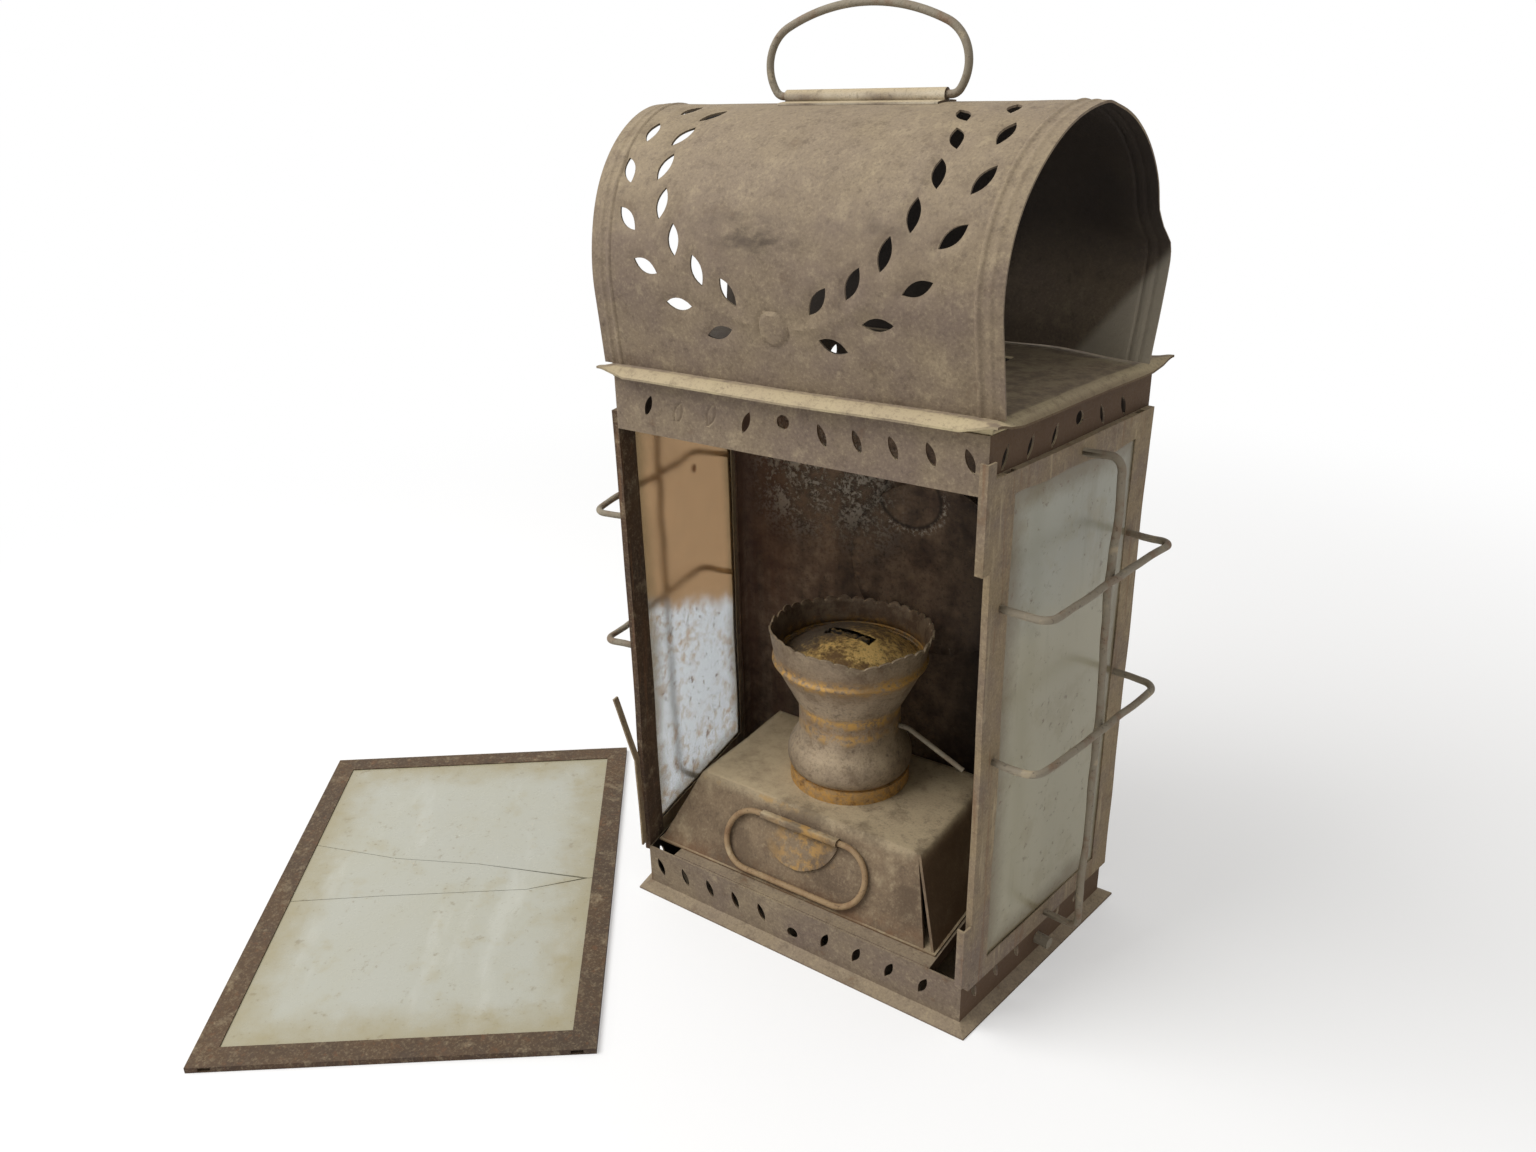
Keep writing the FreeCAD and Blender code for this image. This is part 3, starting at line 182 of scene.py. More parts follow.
class LanternStage(PropertyGroup):
    floor_colour: tint("Floor", "Pale floor under the lantern", "F4F4F4")
    sky: FloatProperty(name="Sky", description="Level of the soft light from all round", default=0.58,
                       min=0.0)
    key: FloatProperty(name="Key light", description="Power of the large lamp above the front", unit="POWER",
                       default=17.0, min=0.0)
    floor_size: length("Floor size", "Side of the floor", 6000.0)
    lens: FloatProperty(name="Lens", description="Focal length of the camera", subtype="DISTANCE_CAMERA",
                        unit="CAMERA", default=27.3376)
    camera_place: FloatVectorProperty(name="Camera place", description="Where the camera stands",
                                      unit="LENGTH", subtype="TRANSLATION", precision=5,
                                      default=(0.220983, -0.380687, 0.354281))
    camera_turn: FloatVectorProperty(name="Camera turn", description="Which way the camera is turned",
                                     unit="ROTATION", subtype="EULER", precision=5,
                                     default=(1.173084, 0.034723, 0.628410))


# Materials


class Field:
    """A value or colour over a surface: one socket of a material, whose sums add Math nodes."""

    def __init__(self, tree, socket=None):
        self.tree = tree
        self.socket = socket

    def node(self, kind, inputs=None, output=0, **settings):
        """Add a node: its settings first, then the value or link of each input; gives one output."""
        made = self.tree.nodes.new("ShaderNode" + kind)
        for name, setting in settings.items():
            setattr(made, name, setting)
        for key, value in (inputs or {}).items():
            if isinstance(value, Field):
                self.tree.links.new(value.socket, made.inputs[key])
            else:
                made.inputs[key].default_value = value
        return Field(self.tree, made.outputs[output]) if made.outputs else None

    def math(self, operation, first, second=0.0):
        return self.node("Math", {0: first, 1: second}, operation=operation)

    def __add__(self, other):
        return self.math("ADD", self, other)

    def __radd__(self, other):
        return self.math("ADD", other, self)

    def __sub__(self, other):
        return self.math("SUBTRACT", self, other)

    def __rsub__(self, other):
        return self.math("SUBTRACT", other, self)

    def __mul__(self, other):
        return self.math("MULTIPLY", self, other)

    def __rmul__(self, other):
        return self.math("MULTIPLY", other, self)

    def __abs__(self):
        return self.math("ABSOLUTE", self)


def new_finish(name):
    """An empty material and a field to start its nodes from."""
    material = bpy.data.materials.new(name)
    material.use_nodes = True
    material.node_tree.nodes.clear()
    return material, Field(material.node_tree)


def close_finish(field, inputs, height, depth):
    """Principled shader and output; height is bumped over a depth in metres."""
    inputs["Normal"] = field.node("Bump", {"Strength": 1.0, "Distance": depth, "Height": height})
    field.node("OutputMaterial", {"Surface": field.node("BsdfPrincipled", inputs)})


def close_tin(field, colour, height, grain):
    """Dull shader of the large tinplate sheets."""
    close_finish(field, {"Base Color": colour, "Roughness": 0.62 + grain * 0.3, "Metallic": 0.0,
                         "Specular IOR Level": 0.3}, height, 1.1 * MM)


def object_place(field):
    """Object coordinates, whole and as x, y and z."""
    at = field.node("TexCoord", output="Object")
    return at, [field.node("SeparateXYZ", {0: at}, output=axis) for axis in "XYZ"]


def facing(field, axis="Z"):
    """How far the surface looks along an axis, from -1 to 1."""
    return field.node("SeparateXYZ", {0: field.node("TexCoord", output="Normal")}, output=axis)


def noise(at, scale, detail=4.0, roughness=0.55, stretch=None):
    """Soft noise from 0 to 1, about 1 / scale metres in size."""
    if stretch:
        at = at.node("Mapping", {"Vector": at, "Scale": stretch})
    return at.node("TexNoise", {"Vector": at, "Scale": scale, "Detail": detail, "Roughness": roughness})


def step(value, low, high):
    """A smooth step of a value, 0 at low and 1 at high."""
    return value.node("MapRange", {0: value, 1: low, 2: high, 3: 0.0, 4: 1.0},
                      interpolation_type="SMOOTHSTEP")


def band(value, middle, half):
    """1 at a level of a value, falling off to 0 at half its width to either side."""
    return 1.0 - step(abs(value - middle), 0.0, half)


def distance(first, second):
    """Length of two offsets at right angles."""
    return first.math("SQRT", first * first + second * second)


def mix(mask, first, second):
    """First colour where the mask is 0, second where it is 1."""
    return mask.node("Mix", {0: mask, 6: first, 7: second}, output=2, data_type="RGBA")


def paint(finish, colour):
    """A colour by the name of its property or by six hex digits."""
    return tuple(getattr(finish, colour)) if colour in LanternFinish.__annotations__ else shade(colour)


def overlay(finish, colour, *layers):
    """Lay paints over a colour in turn, each where its mask is 1."""
    for mask, over in layers:
        colour = mix(mask, colour, paint(finish, over))
    return colour


def deep_in_hood(x):
    """1 well inside the hood, 0 near its open right end."""
    return 1.0 - step(x, SOOT_SHADE_THICK, SOOT_SHADE_THIN)


def tin_layers(field, finish, body, deep, dusty, rusty, lie=(0.0, 0.8)):
    """Colour and height of dull tinplate: soft patches, dust where it can lie, a little rust, fine grain."""
    at, (x, y, z) = object_place(field)
    cloud = noise(at, 15.0, 3.0)
    patch = noise(at, 60.0, 6.0, 0.6)
    bloom = noise(at, 110.0, 8.0, 0.68)
    scuff = noise(at, 260.0, 7.0, 0.72)
    grain = noise(at, 950.0, 5.0, 0.65)
    pin = noise(at, 1500.0, 2.0)
    lying = step(facing(field), *lie) * (0.75 + step(patch, 0.3, 0.6) * 0.25)
    colour = overlay(
        finish, paint(finish, body),
        (step(cloud * 0.6 + patch * 0.4, 0.36, 0.66), deep),
        (lying * dusty, "dust"),
        (step(bloom, 0.46, 0.30) * 0.30, "dust"),
        (step(bloom, 0.52, 0.66) * 0.30, "54463A"),
        (step(scuff, 0.54, 0.66) * 0.34, "4A3D31"),
        (step(scuff, 0.44, 0.33) * 0.22, "dust"),
        (step(grain, 0.50, 0.72) * 0.26, "dust"),
        (step(grain, 0.50, 0.28) * 0.30, "soot"),
        (step(bloom, 0.60, 0.74) * rusty, "rust"),
        (step(pin, 0.68, 0.78) * 0.45, "soot"))
    height = cloud * 1.2 + patch * 0.30 + grain * 0.09 + pin * 0.05
    return colour, height, grain, (at, x, y, z)


def outside_tin(finish, name, body="tin", dusty=0.6, rusty=0.25):
    """Bands, rim, plate and sleeve: painted shade, brown with some rust on the right end and near black
    inside; soot and shade under the hood.
    """
    material, field = new_finish(name)
    colour, height, grain, (at, x, y, z) = tin_layers(field, finish, body, "tin_deep", dusty, rusty)
    if body == "rim":
        flat = step(facing(field), 0.975, 0.998)
        bare = 0.35 + step(noise(at, 160.0, 6.0, 0.66), 0.40, 0.62) * 0.45
        # Soot and painted shade on the flat faces under the hood, fading towards its open right end
        hood_soot_and_shade = deep_in_hood(x) * (1.0 - step(abs(y), HOOD_INNER - 2.0 * MM, HOOD_INNER))
        colour = overlay(finish, colour, (flat * bare, "tin_deep"), (flat * hood_soot_and_shade * 0.9, "soot"))
    # Painted shade with some rust: faces that look right turn dark brown
    end = step(facing(field, "X"), 0.5, 0.85) * (0.72 + grain * 0.3)
    # Painted shade: faces that look inwards, into the lantern, turn near black
    inside = step(facing(field, "X") * x + facing(field, "Y") * y, -30.0 * MM, -45.0 * MM)
    colour = overlay(finish, colour, (end, "shaded"), (inside * 0.9, "1C1510"))
    close_tin(field, colour, height, grain)
    return material


def hood_tin(finish, name):
    """Hood tinplate: dusty above, smudged over the wreath; soot, painted shade and a painted highlight
    inside.
    """
    material, field = new_finish(name)
    colour, height, grain, (at, x, y, z) = tin_layers(field, finish, "tin", "tin_deep", 0.26, 0.12)
    soft = noise(at, 42.0, 6.0, 0.62)
    wisp = noise(at, 110.0, 7.0, 0.65, stretch=(0.45, 1.0, 1.0))
    front = step(y, -36.0 * MM, -50.0 * MM)
    waft = z + (soft - 0.5) * 0.012

    def smudge(middle, half, level, rise):
        return band(x, middle * MM, half * MM) * band(waft, level * MM, rise * MM)

    smear = smudge(-16.0, 40.0, 298.5, 9.5) + smudge(38.0, 18.0, 303.0, 8.0) * 0.6
    tarnish = band(z, 296.0 * MM, 30.0 * MM) * step(noise(at, 24.0, 4.0, 0.6), 0.40, 0.62)
    inside = step(facing(field, "Y") * y + facing(field) * (z - HOOD_AXIS), 0.0, -12.0 * MM)
    # Soot with painted shade inside: more up high and deep in the hood, eased off low at the right end as
    # painted light
    soot_and_shade = 0.36 + step(z, 262.0 * MM, 300.0 * MM) * 0.52 + soft * 0.12
    soot_and_shade = soot_and_shade * (1.0 - step(x - z, -190.0 * MM, -172.0 * MM) * 0.6) + deep_in_hood(x) * 0.5
    # Painted highlight on the lower rear of the buckled right end inside, where the bent sheet catches light
    lit = step(x - z * 0.8, -134.0 * MM, -128.0 * MM) * step(y, 20.0 * MM, 35.0 * MM)
    colour = overlay(
        finish, colour,
        (smear * step(wisp, 0.40, 0.62) * front * 0.85, "soot"),
        (tarnish * front * 0.30, "tin_deep"),
        # Inside: soot with painted shade, then the painted highlight
        (inside * soot_and_shade, "1F1813"),
        (inside * lit * 0.6, "A39C8C"))
    close_tin(field, colour, height, grain)
    return material


def frame_tin(finish, name, body="frame", dusty=0.35, worn=0.4):
    """Channel strips: tin with long scratches and flakes of rust."""
    material, field = new_finish(name)
    # Strips in the door's dark colour take their darker patches from the dark brown that elsewhere paints
    # shade
    deep = "tin_deep" if body == "frame" else "shaded"
    colour, height, grain, (at, x, y, z) = tin_layers(field, finish, body, deep, dusty, 0.45)
    scratch = noise(at, 320.0, 4.0, 0.6, stretch=(1.0, 1.0, 0.07))
    colour = overlay(
        finish, colour,
        (step(scratch, 0.56, 0.72) * worn, "dust"),
        (step(scratch, 0.44, 0.30) * 0.5, "rust"),
        (step(noise(at, 75.0, 7.0, 0.7), 0.62, 0.72) * 0.55, "rust"))
    close_finish(field, {"Base Color": colour, "Roughness": 0.6 + grain * 0.3, "Metallic": 0.0,
                         "Specular IOR Level": 0.35}, height + scratch * 0.35, 0.9 * MM)
    return material


def sooty_tin(finish, name):
    """Back wall and reflector: soot, rust at the left, a whitish crust, a loop's mark, painted shade at the
    right; plain tin outside.
    """
    material, field = new_finish(name)
    at, (x, y, z) = object_place(field)
    cloud = noise(at, 20.0, 5.0, 0.6)
    patch = noise(at, 75.0, 8.0, 0.68)
    streak = noise(at, 85.0, 6.0, 0.62, stretch=(1.0, 1.0, 0.10))
    spot = noise(at, 620.0, 5.0, 0.72)
    crust = band(z, CRUST.z, 40.0 * MM) * step(abs(x - CRUST.x), 50.0 * MM, 15.0 * MM)
    crust = crust * step(spot * 0.55 + patch * 0.45, 0.480, 0.545)
    loop = distance(x - LOOP.x, z - LOOP.z)
    ring = band(loop, 14.6 * MM, 1.7 * MM) * step(z, 186.0 * MM, 178.0 * MM)
    fringe = band(loop, 16.8 * MM, 2.8 * MM) * step(z, 184.0 * MM, 170.0 * MM) * step(spot, 0.50, 0.60)
    colour = overlay(
        finish, shade("816C58"),
        (step(patch, 0.32, 0.7), "5A473B"),
        (step(cloud * 0.4 + patch * 0.3 + streak * 0.3, 0.40, 0.62) * 0.7, "soot"),
        (step(spot, 0.50, 0.32) * 0.5, "1E1712"),
        # Painted shade: the wall turns near black from its middle rightwards
        (step(x, 0.0, 45.0 * MM) * 0.92, "150F0B"),
        (step(x, -60.0 * MM, -80.0 * MM) * step(streak, 0.36, 0.62) * 0.6, "54382A"),
        (ring * 0.75, "17120E"),
        (field.math("MAXIMUM", crust, fringe) * 0.8, "lime"),
        (step(spot, 0.64, 0.76) * 0.30, "dust"))
    plain = tin_layers(field, finish, "tin", "tin_deep", 0.2, 0.5)[0]
    colour = mix(step(facing(field, "Y"), 0.3, 0.7), colour, plain)
    close_finish(field, {"Base Color": colour, "Roughness": 0.58 + spot * 0.35, "Specular IOR Level": 0.25},
                 cloud + patch * 0.4 + spot * 0.25 + crust * 0.3, 0.9 * MM)
    return material


def font_tin(finish, name, tongue=False):
    """Oil font: dusty brown tin with ochre rubbed along its top edge, and more of it on the tongue; painted
    light and shade.
    """
    material, field = new_finish(name)
    colour, height, grain, (at, x, y, z) = tin_layers(
        field, finish, "7A6852", "665543", 0.75, 0.45, (0.5, 0.95))
    rub = noise(at, 140.0, 7.0, 0.7)
    stain = noise(at, 38.0, 6.0, 0.65)
    top = step(facing(field), 0.85, 0.97)
    ridge = band(z, FONT_RIDGE, 2.4 * MM) * (1.0 - top) * step(rub, 0.46, 0.62)
    ridge = ridge * step(y, -20.0 * MM, -26.0 * MM) * step(noise(at, 30.0, 3.0), 0.44, 0.58)
    if tongue:
        wear = step(rub, 0.43, 0.58) * band(x, TONGUE.x, 22.0 * MM)
    else:
        wear = step(rub, 0.55, 0.66) * band(x, TONGUE.x, 26.0 * MM) * band(z, TONGUE.z, 13.0 * MM)
    colour = overlay(
        finish, colour,
        (step(stain, 0.50, 0.64) * 0.55, "4A3B2D"),
        (step(stain, 0.44, 0.32) * 0.40, "dust"),
        # Painted light: the top turns paler towards the left, where the left pane shades it
        (top * step(x, -5.0 * MM, -50.0 * MM) * (0.35 + step(rub, 0.36, 0.6) * 0.4), "C0AE8E"),
        (ridge * 0.6, "A5824A"),
        (wear * 0.75, "AA8346"),
        (step(z, 32.0 * MM, 24.0 * MM) * step(rub, 0.38, 0.6) * 0.5, "rust"),
        # Painted shade: faces that look right turn dark brown
        (step(facing(field, "X"), 0.45, 0.8) * 0.65, "shaded"))
    close_tin(field, colour, height, grain)
    return material


def burner_metal(finish, name, crust=False):
    """Burner: grey-brown metal with ochre rings of rust where its sheets meet, and crumbs if asked."""
    material, field = new_finish(name)
    colour, height, grain, (at, x, y, z) = tin_layers(field, finish, "998770", "695846", 0.3, 0.4)
    rub = noise(at, 160.0, 8.0, 0.7)
    fleck = noise(at, 420.0, 8.0, 0.75)
    broken = step(noise(at, 55.0, 5.0, 0.65), 0.40, 0.56)
    level = z + (rub - 0.5) * 0.007
    rings = sum(band(level, middle * MM, half * MM) * share for middle, half, share in RUST_RINGS)
    rings = rings * (0.35 + broken * 0.65)
    wide = band(level, 115.0 * MM, 9.5 * MM) + band(level, 90.0 * MM, 9.5 * MM)
    foot = step(z, 64.0 * MM, 61.5 * MM)
    outward = facing(field, "X") * (x - BURNER.x) + facing(field, "Y") * (y - BURNER.y)
    inside = step(outward, -20.0 * MM, -28.0 * MM) * step(z, 113.5 * MM, 114.5 * MM)
    colour = overlay(
        finish, colour,
        (step(rub, 0.50, 0.66) * 0.5, "5E4B38"),
        (wide * (0.25 + step(fleck, 0.42, 0.58) * 0.45), "6E5234"),
        (rings * step(fleck * 0.7 + rub * 0.3, 0.43, 0.54) * 0.9, "BC9148"),
        (step(fleck, 0.44, 0.34) * 0.45, "3A2D22"),
        (step(fleck, 0.63, 0.76) * 0.35, "ochre"),
        (foot * (0.35 + step(fleck, 0.40, 0.58) * 0.55), "BD8F48"),
        (foot * step(rub, 0.50, 0.64) * 0.6, "5A3A26"),
        (inside * (0.45 + step(rub, 0.42, 0.6) * 0.3), "4A3524"))
    if crust:
        crumb = noise(at, 480.0, 9.0, 0.78)
        heap = noise(at, 70.0, 6.0, 0.65)
        side = step(x - y * 0.5 + (crumb + heap - 1.0) * 0.03, -22.0 * MM, -6.0 * MM)
        colour = overlay(
            finish, colour,
            (0.75 - side * 0.3, "43382D"),
            (side, "8A6B3C"),
            (step(crumb * 0.6 + heap * 0.4, 0.44, 0.56) * side, "E2BD72"),
            (step(heap, 0.50, 0.36) * side * 0.7, "6B5034"),
            (step(crumb, 0.45, 0.32) * 0.75, "382818"))
        height = height + crumb * 1.2
    close_finish(field, {"Base Color": colour, "Roughness": 0.42 + rub * 0.4,
                         "Metallic": 0.0 if crust else 0.25, "Specular IOR Level": 0.4},
                 height + fleck * 0.12, 1.3 * MM)
    return material


def wire_metal(finish, name, body="wire"):
    """Iron wire: grey-brown, pitted, with worn pale and rusty stretches."""
    material, field = new_finish(name)
    at = object_place(field)[0]
    patch = noise(at, 110.0, 6.0, 0.65)
    pit = noise(at, 800.0, 3.0)
    colour = overlay(
        finish, paint(finish, body),
        (step(patch, 0.48, 0.72) * 0.7, "rust"),
        (step(patch, 0.44, 0.30) * 0.5, "dust"),
        (step(pit, 0.60, 0.72) * 0.5, "soot"))
    close_finish(field, {"Base Color": colour, "Roughness": 0.55 + pit * 0.35, "Specular IOR Level": 0.35},
                 patch * 0.6 + pit * 0.3, 0.6 * MM)
    return material


def side_pane(finish, name, smoked):
    """Side pane under a film of dirt that scatters light; the left one has a painted tan view through its
    upper part and is washed below.
    """
    material, field = new_finish(name)
    at, (x, y, z) = object_place(field)
    cloud = noise(at, 24.0, 5.0, 0.6)
    run = noise(at, 120.0, 5.0, 0.6, stretch=(1.0, 1.0, 0.10))
    speck = noise(at, 560.0, 6.0, 0.72)
    rim = field.math("MAXIMUM", abs(y) - PANE_HALF.y, abs(z - PANE_LEVEL) - PANE_HALF.z)
    dirt = step(rim + (cloud - 0.5) * 0.016 + (speck - 0.5) * 0.006, -12.0 * MM, 1.0 * MM) * 0.75
    if smoked:
        # Painted view through the glass: tan above a slanted line, washed below
        view_boundary = z + y * 0.44 + (cloud - 0.5) * 0.016 + (run - 0.5) * 0.012
        upper = step(view_boundary, 116.5 * MM, 127.5 * MM)
        dabs = step(noise(at, 190.0, 6.0, 0.7), 0.50, 0.62)
        dabs = dabs * step(cloud + abs(z - 85.0 * MM) * 6.0, 0.46, 0.72)
        clear = overlay(finish, paint(finish, "washed"), (dabs * 0.75, "smoked"))
        tan = overlay(finish, paint(finish, "smoked"), (step(cloud, 0.35, 0.68) * 0.5, "B09270"))
        colour = mix(upper, clear, tan)
        bits = step(noise(at, 260.0, 5.0, 0.68), 0.59, 0.66) * step(run, 0.40, 0.58) * (0.9 - upper * 0.7)
        blot = distance(y - BLOT.y, z - BLOT.z) + (speck - 0.5) * 0.003
        bits = field.math("MAXIMUM", bits, step(blot, 2.6 * MM, 1.2 * MM))
    else:
        stain = noise(at, 48.0, 6.0, 0.64)
        colour = overlay(
            finish, paint(finish, "pane"),
            (step(z + (cloud - 0.5) * 0.06, 190.0 * MM, 150.0 * MM), "B5AF97"),
            (step(stain, 0.50, 0.66) * 0.45, "A3987A"),
            (step(run, 0.55, 0.75) * 0.25, "grime"))
        bits = step(noise(at, 300.0, 5.0, 0.7), 0.58, 0.67) * step(stain, 0.40, 0.60) * 0.6
    colour = overlay(finish, colour, (dirt, "grime"), (bits, "rust"))
    close_finish(field, {"Base Color": colour, "Roughness": 0.16 + cloud * 0.12,
                         "IOR": 1.16 if smoked else 1.4, "Transmission Weight": 0.76 if smoked else 0.35},
                 run + speck * 0.3, 0.06 * MM)
    return material


def door_pane(finish, name):
    """Milky glass of the door, with yellow-brown dirt along the strips."""
    material, field = new_finish(name)
    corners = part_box("door_rail_bottom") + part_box("door_rail_top")
    centre = sum((Vector(corner) for corner in corners), Vector()) / 4
    turned = Matrix.Rotation(-DOOR_TURN, 3, "Z") @ centre
    at = field.node("TexCoord", output="Object")
    flat = at.node("Mapping", {"Vector": at, "Rotation": (0.0, 0.0, -DOOR_TURN),
                               "Location": (-turned.x, -turned.y, 0.0)})
    x, y = (field.node("SeparateXYZ", {0: flat}, output=axis) for axis in "XY")
    cloud = noise(flat, 18.0, 5.0, 0.6)
    stain = noise(flat, 60.0, 7.0, 0.66)
    speck = noise(flat, 420.0, 5.0, 0.68)
    wipe = noise(flat, 45.0, 4.0, 0.6, stretch=(1.0, 0.25, 1.0))
    rim = field.math("MAXIMUM", abs(x) - DOOR_PANE_HALF.x, abs(y) - DOOR_PANE_HALF.y)
    dirt = step(rim + (stain - 0.5) * 0.040, -26.0 * MM, 3.0 * MM)
    colour = overlay(
        finish, paint(finish, "door_pane"),
        (step(cloud, 0.35, 0.7) * 0.5, "ADAB98"),
        (step(wipe, 0.55, 0.72) * 0.30, "CBCCC4"),
        (step(stain, 0.54, 0.68) * 0.35, "A39A7C"),
        (dirt * 0.65, "978A63"),
        (step(noise(flat, 150.0, 6.0, 0.7), 0.60, 0.70) * 0.45, "grime"),
        (step(speck, 0.60, 0.70) * step(stain, 0.42, 0.60) * 0.7, "grime"))
    close_finish(field, {"Base Color": colour, "Roughness": 0.16 + stain * 0.25, "Alpha": 0.96},
                 stain + speck * 0.2, 0.12 * MM)
    return material


def wick_cotton(finish, name):
    """Flat woven wick: oily brown threads, charred at the top under yellow crumbs."""
    material, field = new_finish(name)
    at, (x, y, z) = object_place(field)
    thread = noise(at, 1400.0, 3.0, 0.6, stretch=(1.0, 1.0, 0.3))
    char = step(z + (thread - 0.5) * 0.004, 119.5 * MM, 123.0 * MM)
    crumbs = step(noise(at, 520.0, 5.0, 0.68), 0.42, 0.56)
    colour = overlay(
        finish, paint(finish, "wick"),
        (step(thread, 0.35, 0.65), "rust"),
        (char, "char"),
        (char * crumbs * 0.85, "7A6238"))
    close_finish(field, {"Base Color": colour, "Roughness": 0.9}, thread, 0.3 * MM)
    return material


# Shaping


def only(obj):
    """Make an object the active one and the only one selected."""
    bpy.ops.object.select_all(action="DESELECT")
    bpy.context.view_layer.objects.active = obj
    obj.select_set(True)
    return obj


def edit_all(obj):
    """Enter edit mode on a whole mesh."""
    only(obj)
    bpy.ops.object.mode_set(mode="EDIT")
    bpy.ops.mesh.select_all(action="SELECT")


def merged_copy(node, name, dissolve=True):
    """A new piece from a CAD node's mesh, its triangles joined, and merged into flat faces if asked."""
    obj = bpy.data.objects.new(name, frame["nodes"][node].data.copy())
    bpy.context.scene.collection.objects.link(obj)
    obj.data.materials.clear()
    edit_all(obj)
    bpy.ops.mesh.remove_doubles(threshold=2e-6)
    if dissolve:
        bpy.ops.mesh.dissolve_limited(angle_limit=math.radians(0.3))
    bpy.ops.object.mode_set(mode="OBJECT")
    return obj


def flat_grid(name, columns, rows):
    """A grid of points from -1 to 1 both ways, to be rolled into a sheet."""
    bpy.ops.object.select_all(action="DESELECT")
    bpy.ops.mesh.primitive_grid_add(x_subdivisions=columns - 1, y_subdivisions=rows - 1, size=2.0)
    sheet = bpy.context.object
    sheet.name = name
    return sheet


def thicken(sheet):
    """Close the seam of a rolled sheet and give it the wall of the tinplate, inwards."""
    edit_all(sheet)
    bpy.ops.mesh.remove_doubles(threshold=1e-6)
    bpy.ops.mesh.normals_make_consistent(inside=False)
    bpy.ops.object.mode_set(mode="OBJECT")
    wall = sheet.modifiers.new("wall", "SOLIDIFY")
    wall.thickness, wall.offset = TIN, -1.0
    bpy.ops.object.modifier_apply(modifier=wall.name)


def cut_across(obj, cuts):
    """Bisect a whole mesh by planes, each a point and a normal."""
    only(obj)
    bpy.ops.object.mode_set(mode="EDIT")
    for point, normal in cuts:
        bpy.ops.mesh.select_all(action="SELECT")
        bpy.ops.mesh.bisect(plane_co=point, plane_no=normal)
    bpy.ops.object.mode_set(mode="OBJECT")


def cuts_along(obj, axis, spacing):
    """Planes at a spacing through the box of a mesh."""
    points = vertex_points(obj)[:, axis]
    count = int((points.max() - points.min()) / spacing)
    normal = Vector([1.0 if index == axis else 0.0 for index in range(3)])
    return [(normal * (points.min() + (points.max() - points.min()) * (cut + 1) / (count + 1)), normal)
            for cut in range(count)]


def vertex_points(obj, value="co"):
    """An array of the places of a mesh's vertices, or of their normals."""
    points = np.empty(len(obj.data.vertices) * 3)
    obj.data.vertices.foreach_get(value, points)
    return points.reshape(-1, 3)


def lifted(points, heights):
    """Points raised by as many heights."""
    return points + np.outer(heights, [0.0, 0.0, 1.0])


def select_vertices(obj, chosen):
    """Select exactly these vertices, and enter edit mode on them."""
    only(obj)
    mesh = obj.data
    mesh.polygons.foreach_set("select", np.zeros(len(mesh.polygons), bool))
    mesh.edges.foreach_set("select", np.zeros(len(mesh.edges), bool))
    mesh.vertices.foreach_set("select", np.asarray(chosen, bool))
    bpy.ops.object.mode_set(mode="EDIT")
    bpy.ops.mesh.select_mode(type="VERT")


def reshape(obj, field):
    """Move every vertex of a mesh to where a field of points takes it."""
    obj.data.vertices.foreach_set("co", field(vertex_points(obj)).ravel())
    obj.data.update()


def ease(values, low, high):
    """A smooth step of an array, 0 at low and 1 at high."""
    share = np.clip((values - low) / (high - low), 0.0, 1.0)
    return share * share * (3.0 - 2.0 * share)


def stray(obj, texture, strength, direction="RGB_TO_XYZ", weights=None):
    """Displace a mesh by a texture in the lantern's own space, vertex by vertex as weighted."""
    only(obj)
    modifier = obj.modifiers.new("stray", "DISPLACE")
    modifier.texture = texture
    modifier.texture_coords = "GLOBAL"
    modifier.direction = direction
    modifier.mid_level = 0.5
    modifier.strength = strength
    if weights is not None:
        group = obj.vertex_groups.new(name="stray")
        for index, weight in enumerate(weights):
            group.add([index], float(weight), "REPLACE")
        modifier.vertex_group = group.name
    bpy.ops.object.modifier_apply(modifier=modifier.name)
    obj.vertex_groups.clear()


def clouds(name, size, depth=1, colour=False):
    """A soft displacement texture, made once."""
    texture = bpy.data.textures.get(name) or bpy.data.textures.new(name, "CLOUDS")
    texture.noise_scale = size
    texture.noise_depth = depth
    texture.cloud_type = "COLOR" if colour else "GRAYSCALE"
    return texture


def waver(obj, shape, amount=1.0, weights=None):
    """Let a sheet stray from true, by swells that neighbouring sheets share."""
    stray(obj, clouds("sheet_swell", shape.waver_size, colour=True), shape.waver * amount, weights=weights)


def hand_bent(node, shape, axes, spacing):
    """A wavering copy of a CAD node, cut into short lengths along some axes."""
    sheet = merged_copy(node, "hand_bent_" + node)
    cut_across(sheet, [cut for axis in axes for cut in cuts_along(sheet, axis, spacing * MM)])
    waver(sheet, shape)
    return sheet


def finish_piece(obj, material, body, nodes, angle=35.0):
    """Shade, paint and seat a new piece in place of the CAD nodes that it stands for."""
    only(obj)
    bpy.ops.object.shade_smooth_by_angle(angle=math.radians(angle))
    obj.data.materials.clear()
    obj.data.materials.append(material)
    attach(obj, body)
    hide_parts(*nodes)


def paint_node(node, material):
    """Give a CAD node its material."""
    obj = frame["nodes"][node]
    obj.data.materials.clear()
    obj.data.materials.append(material)


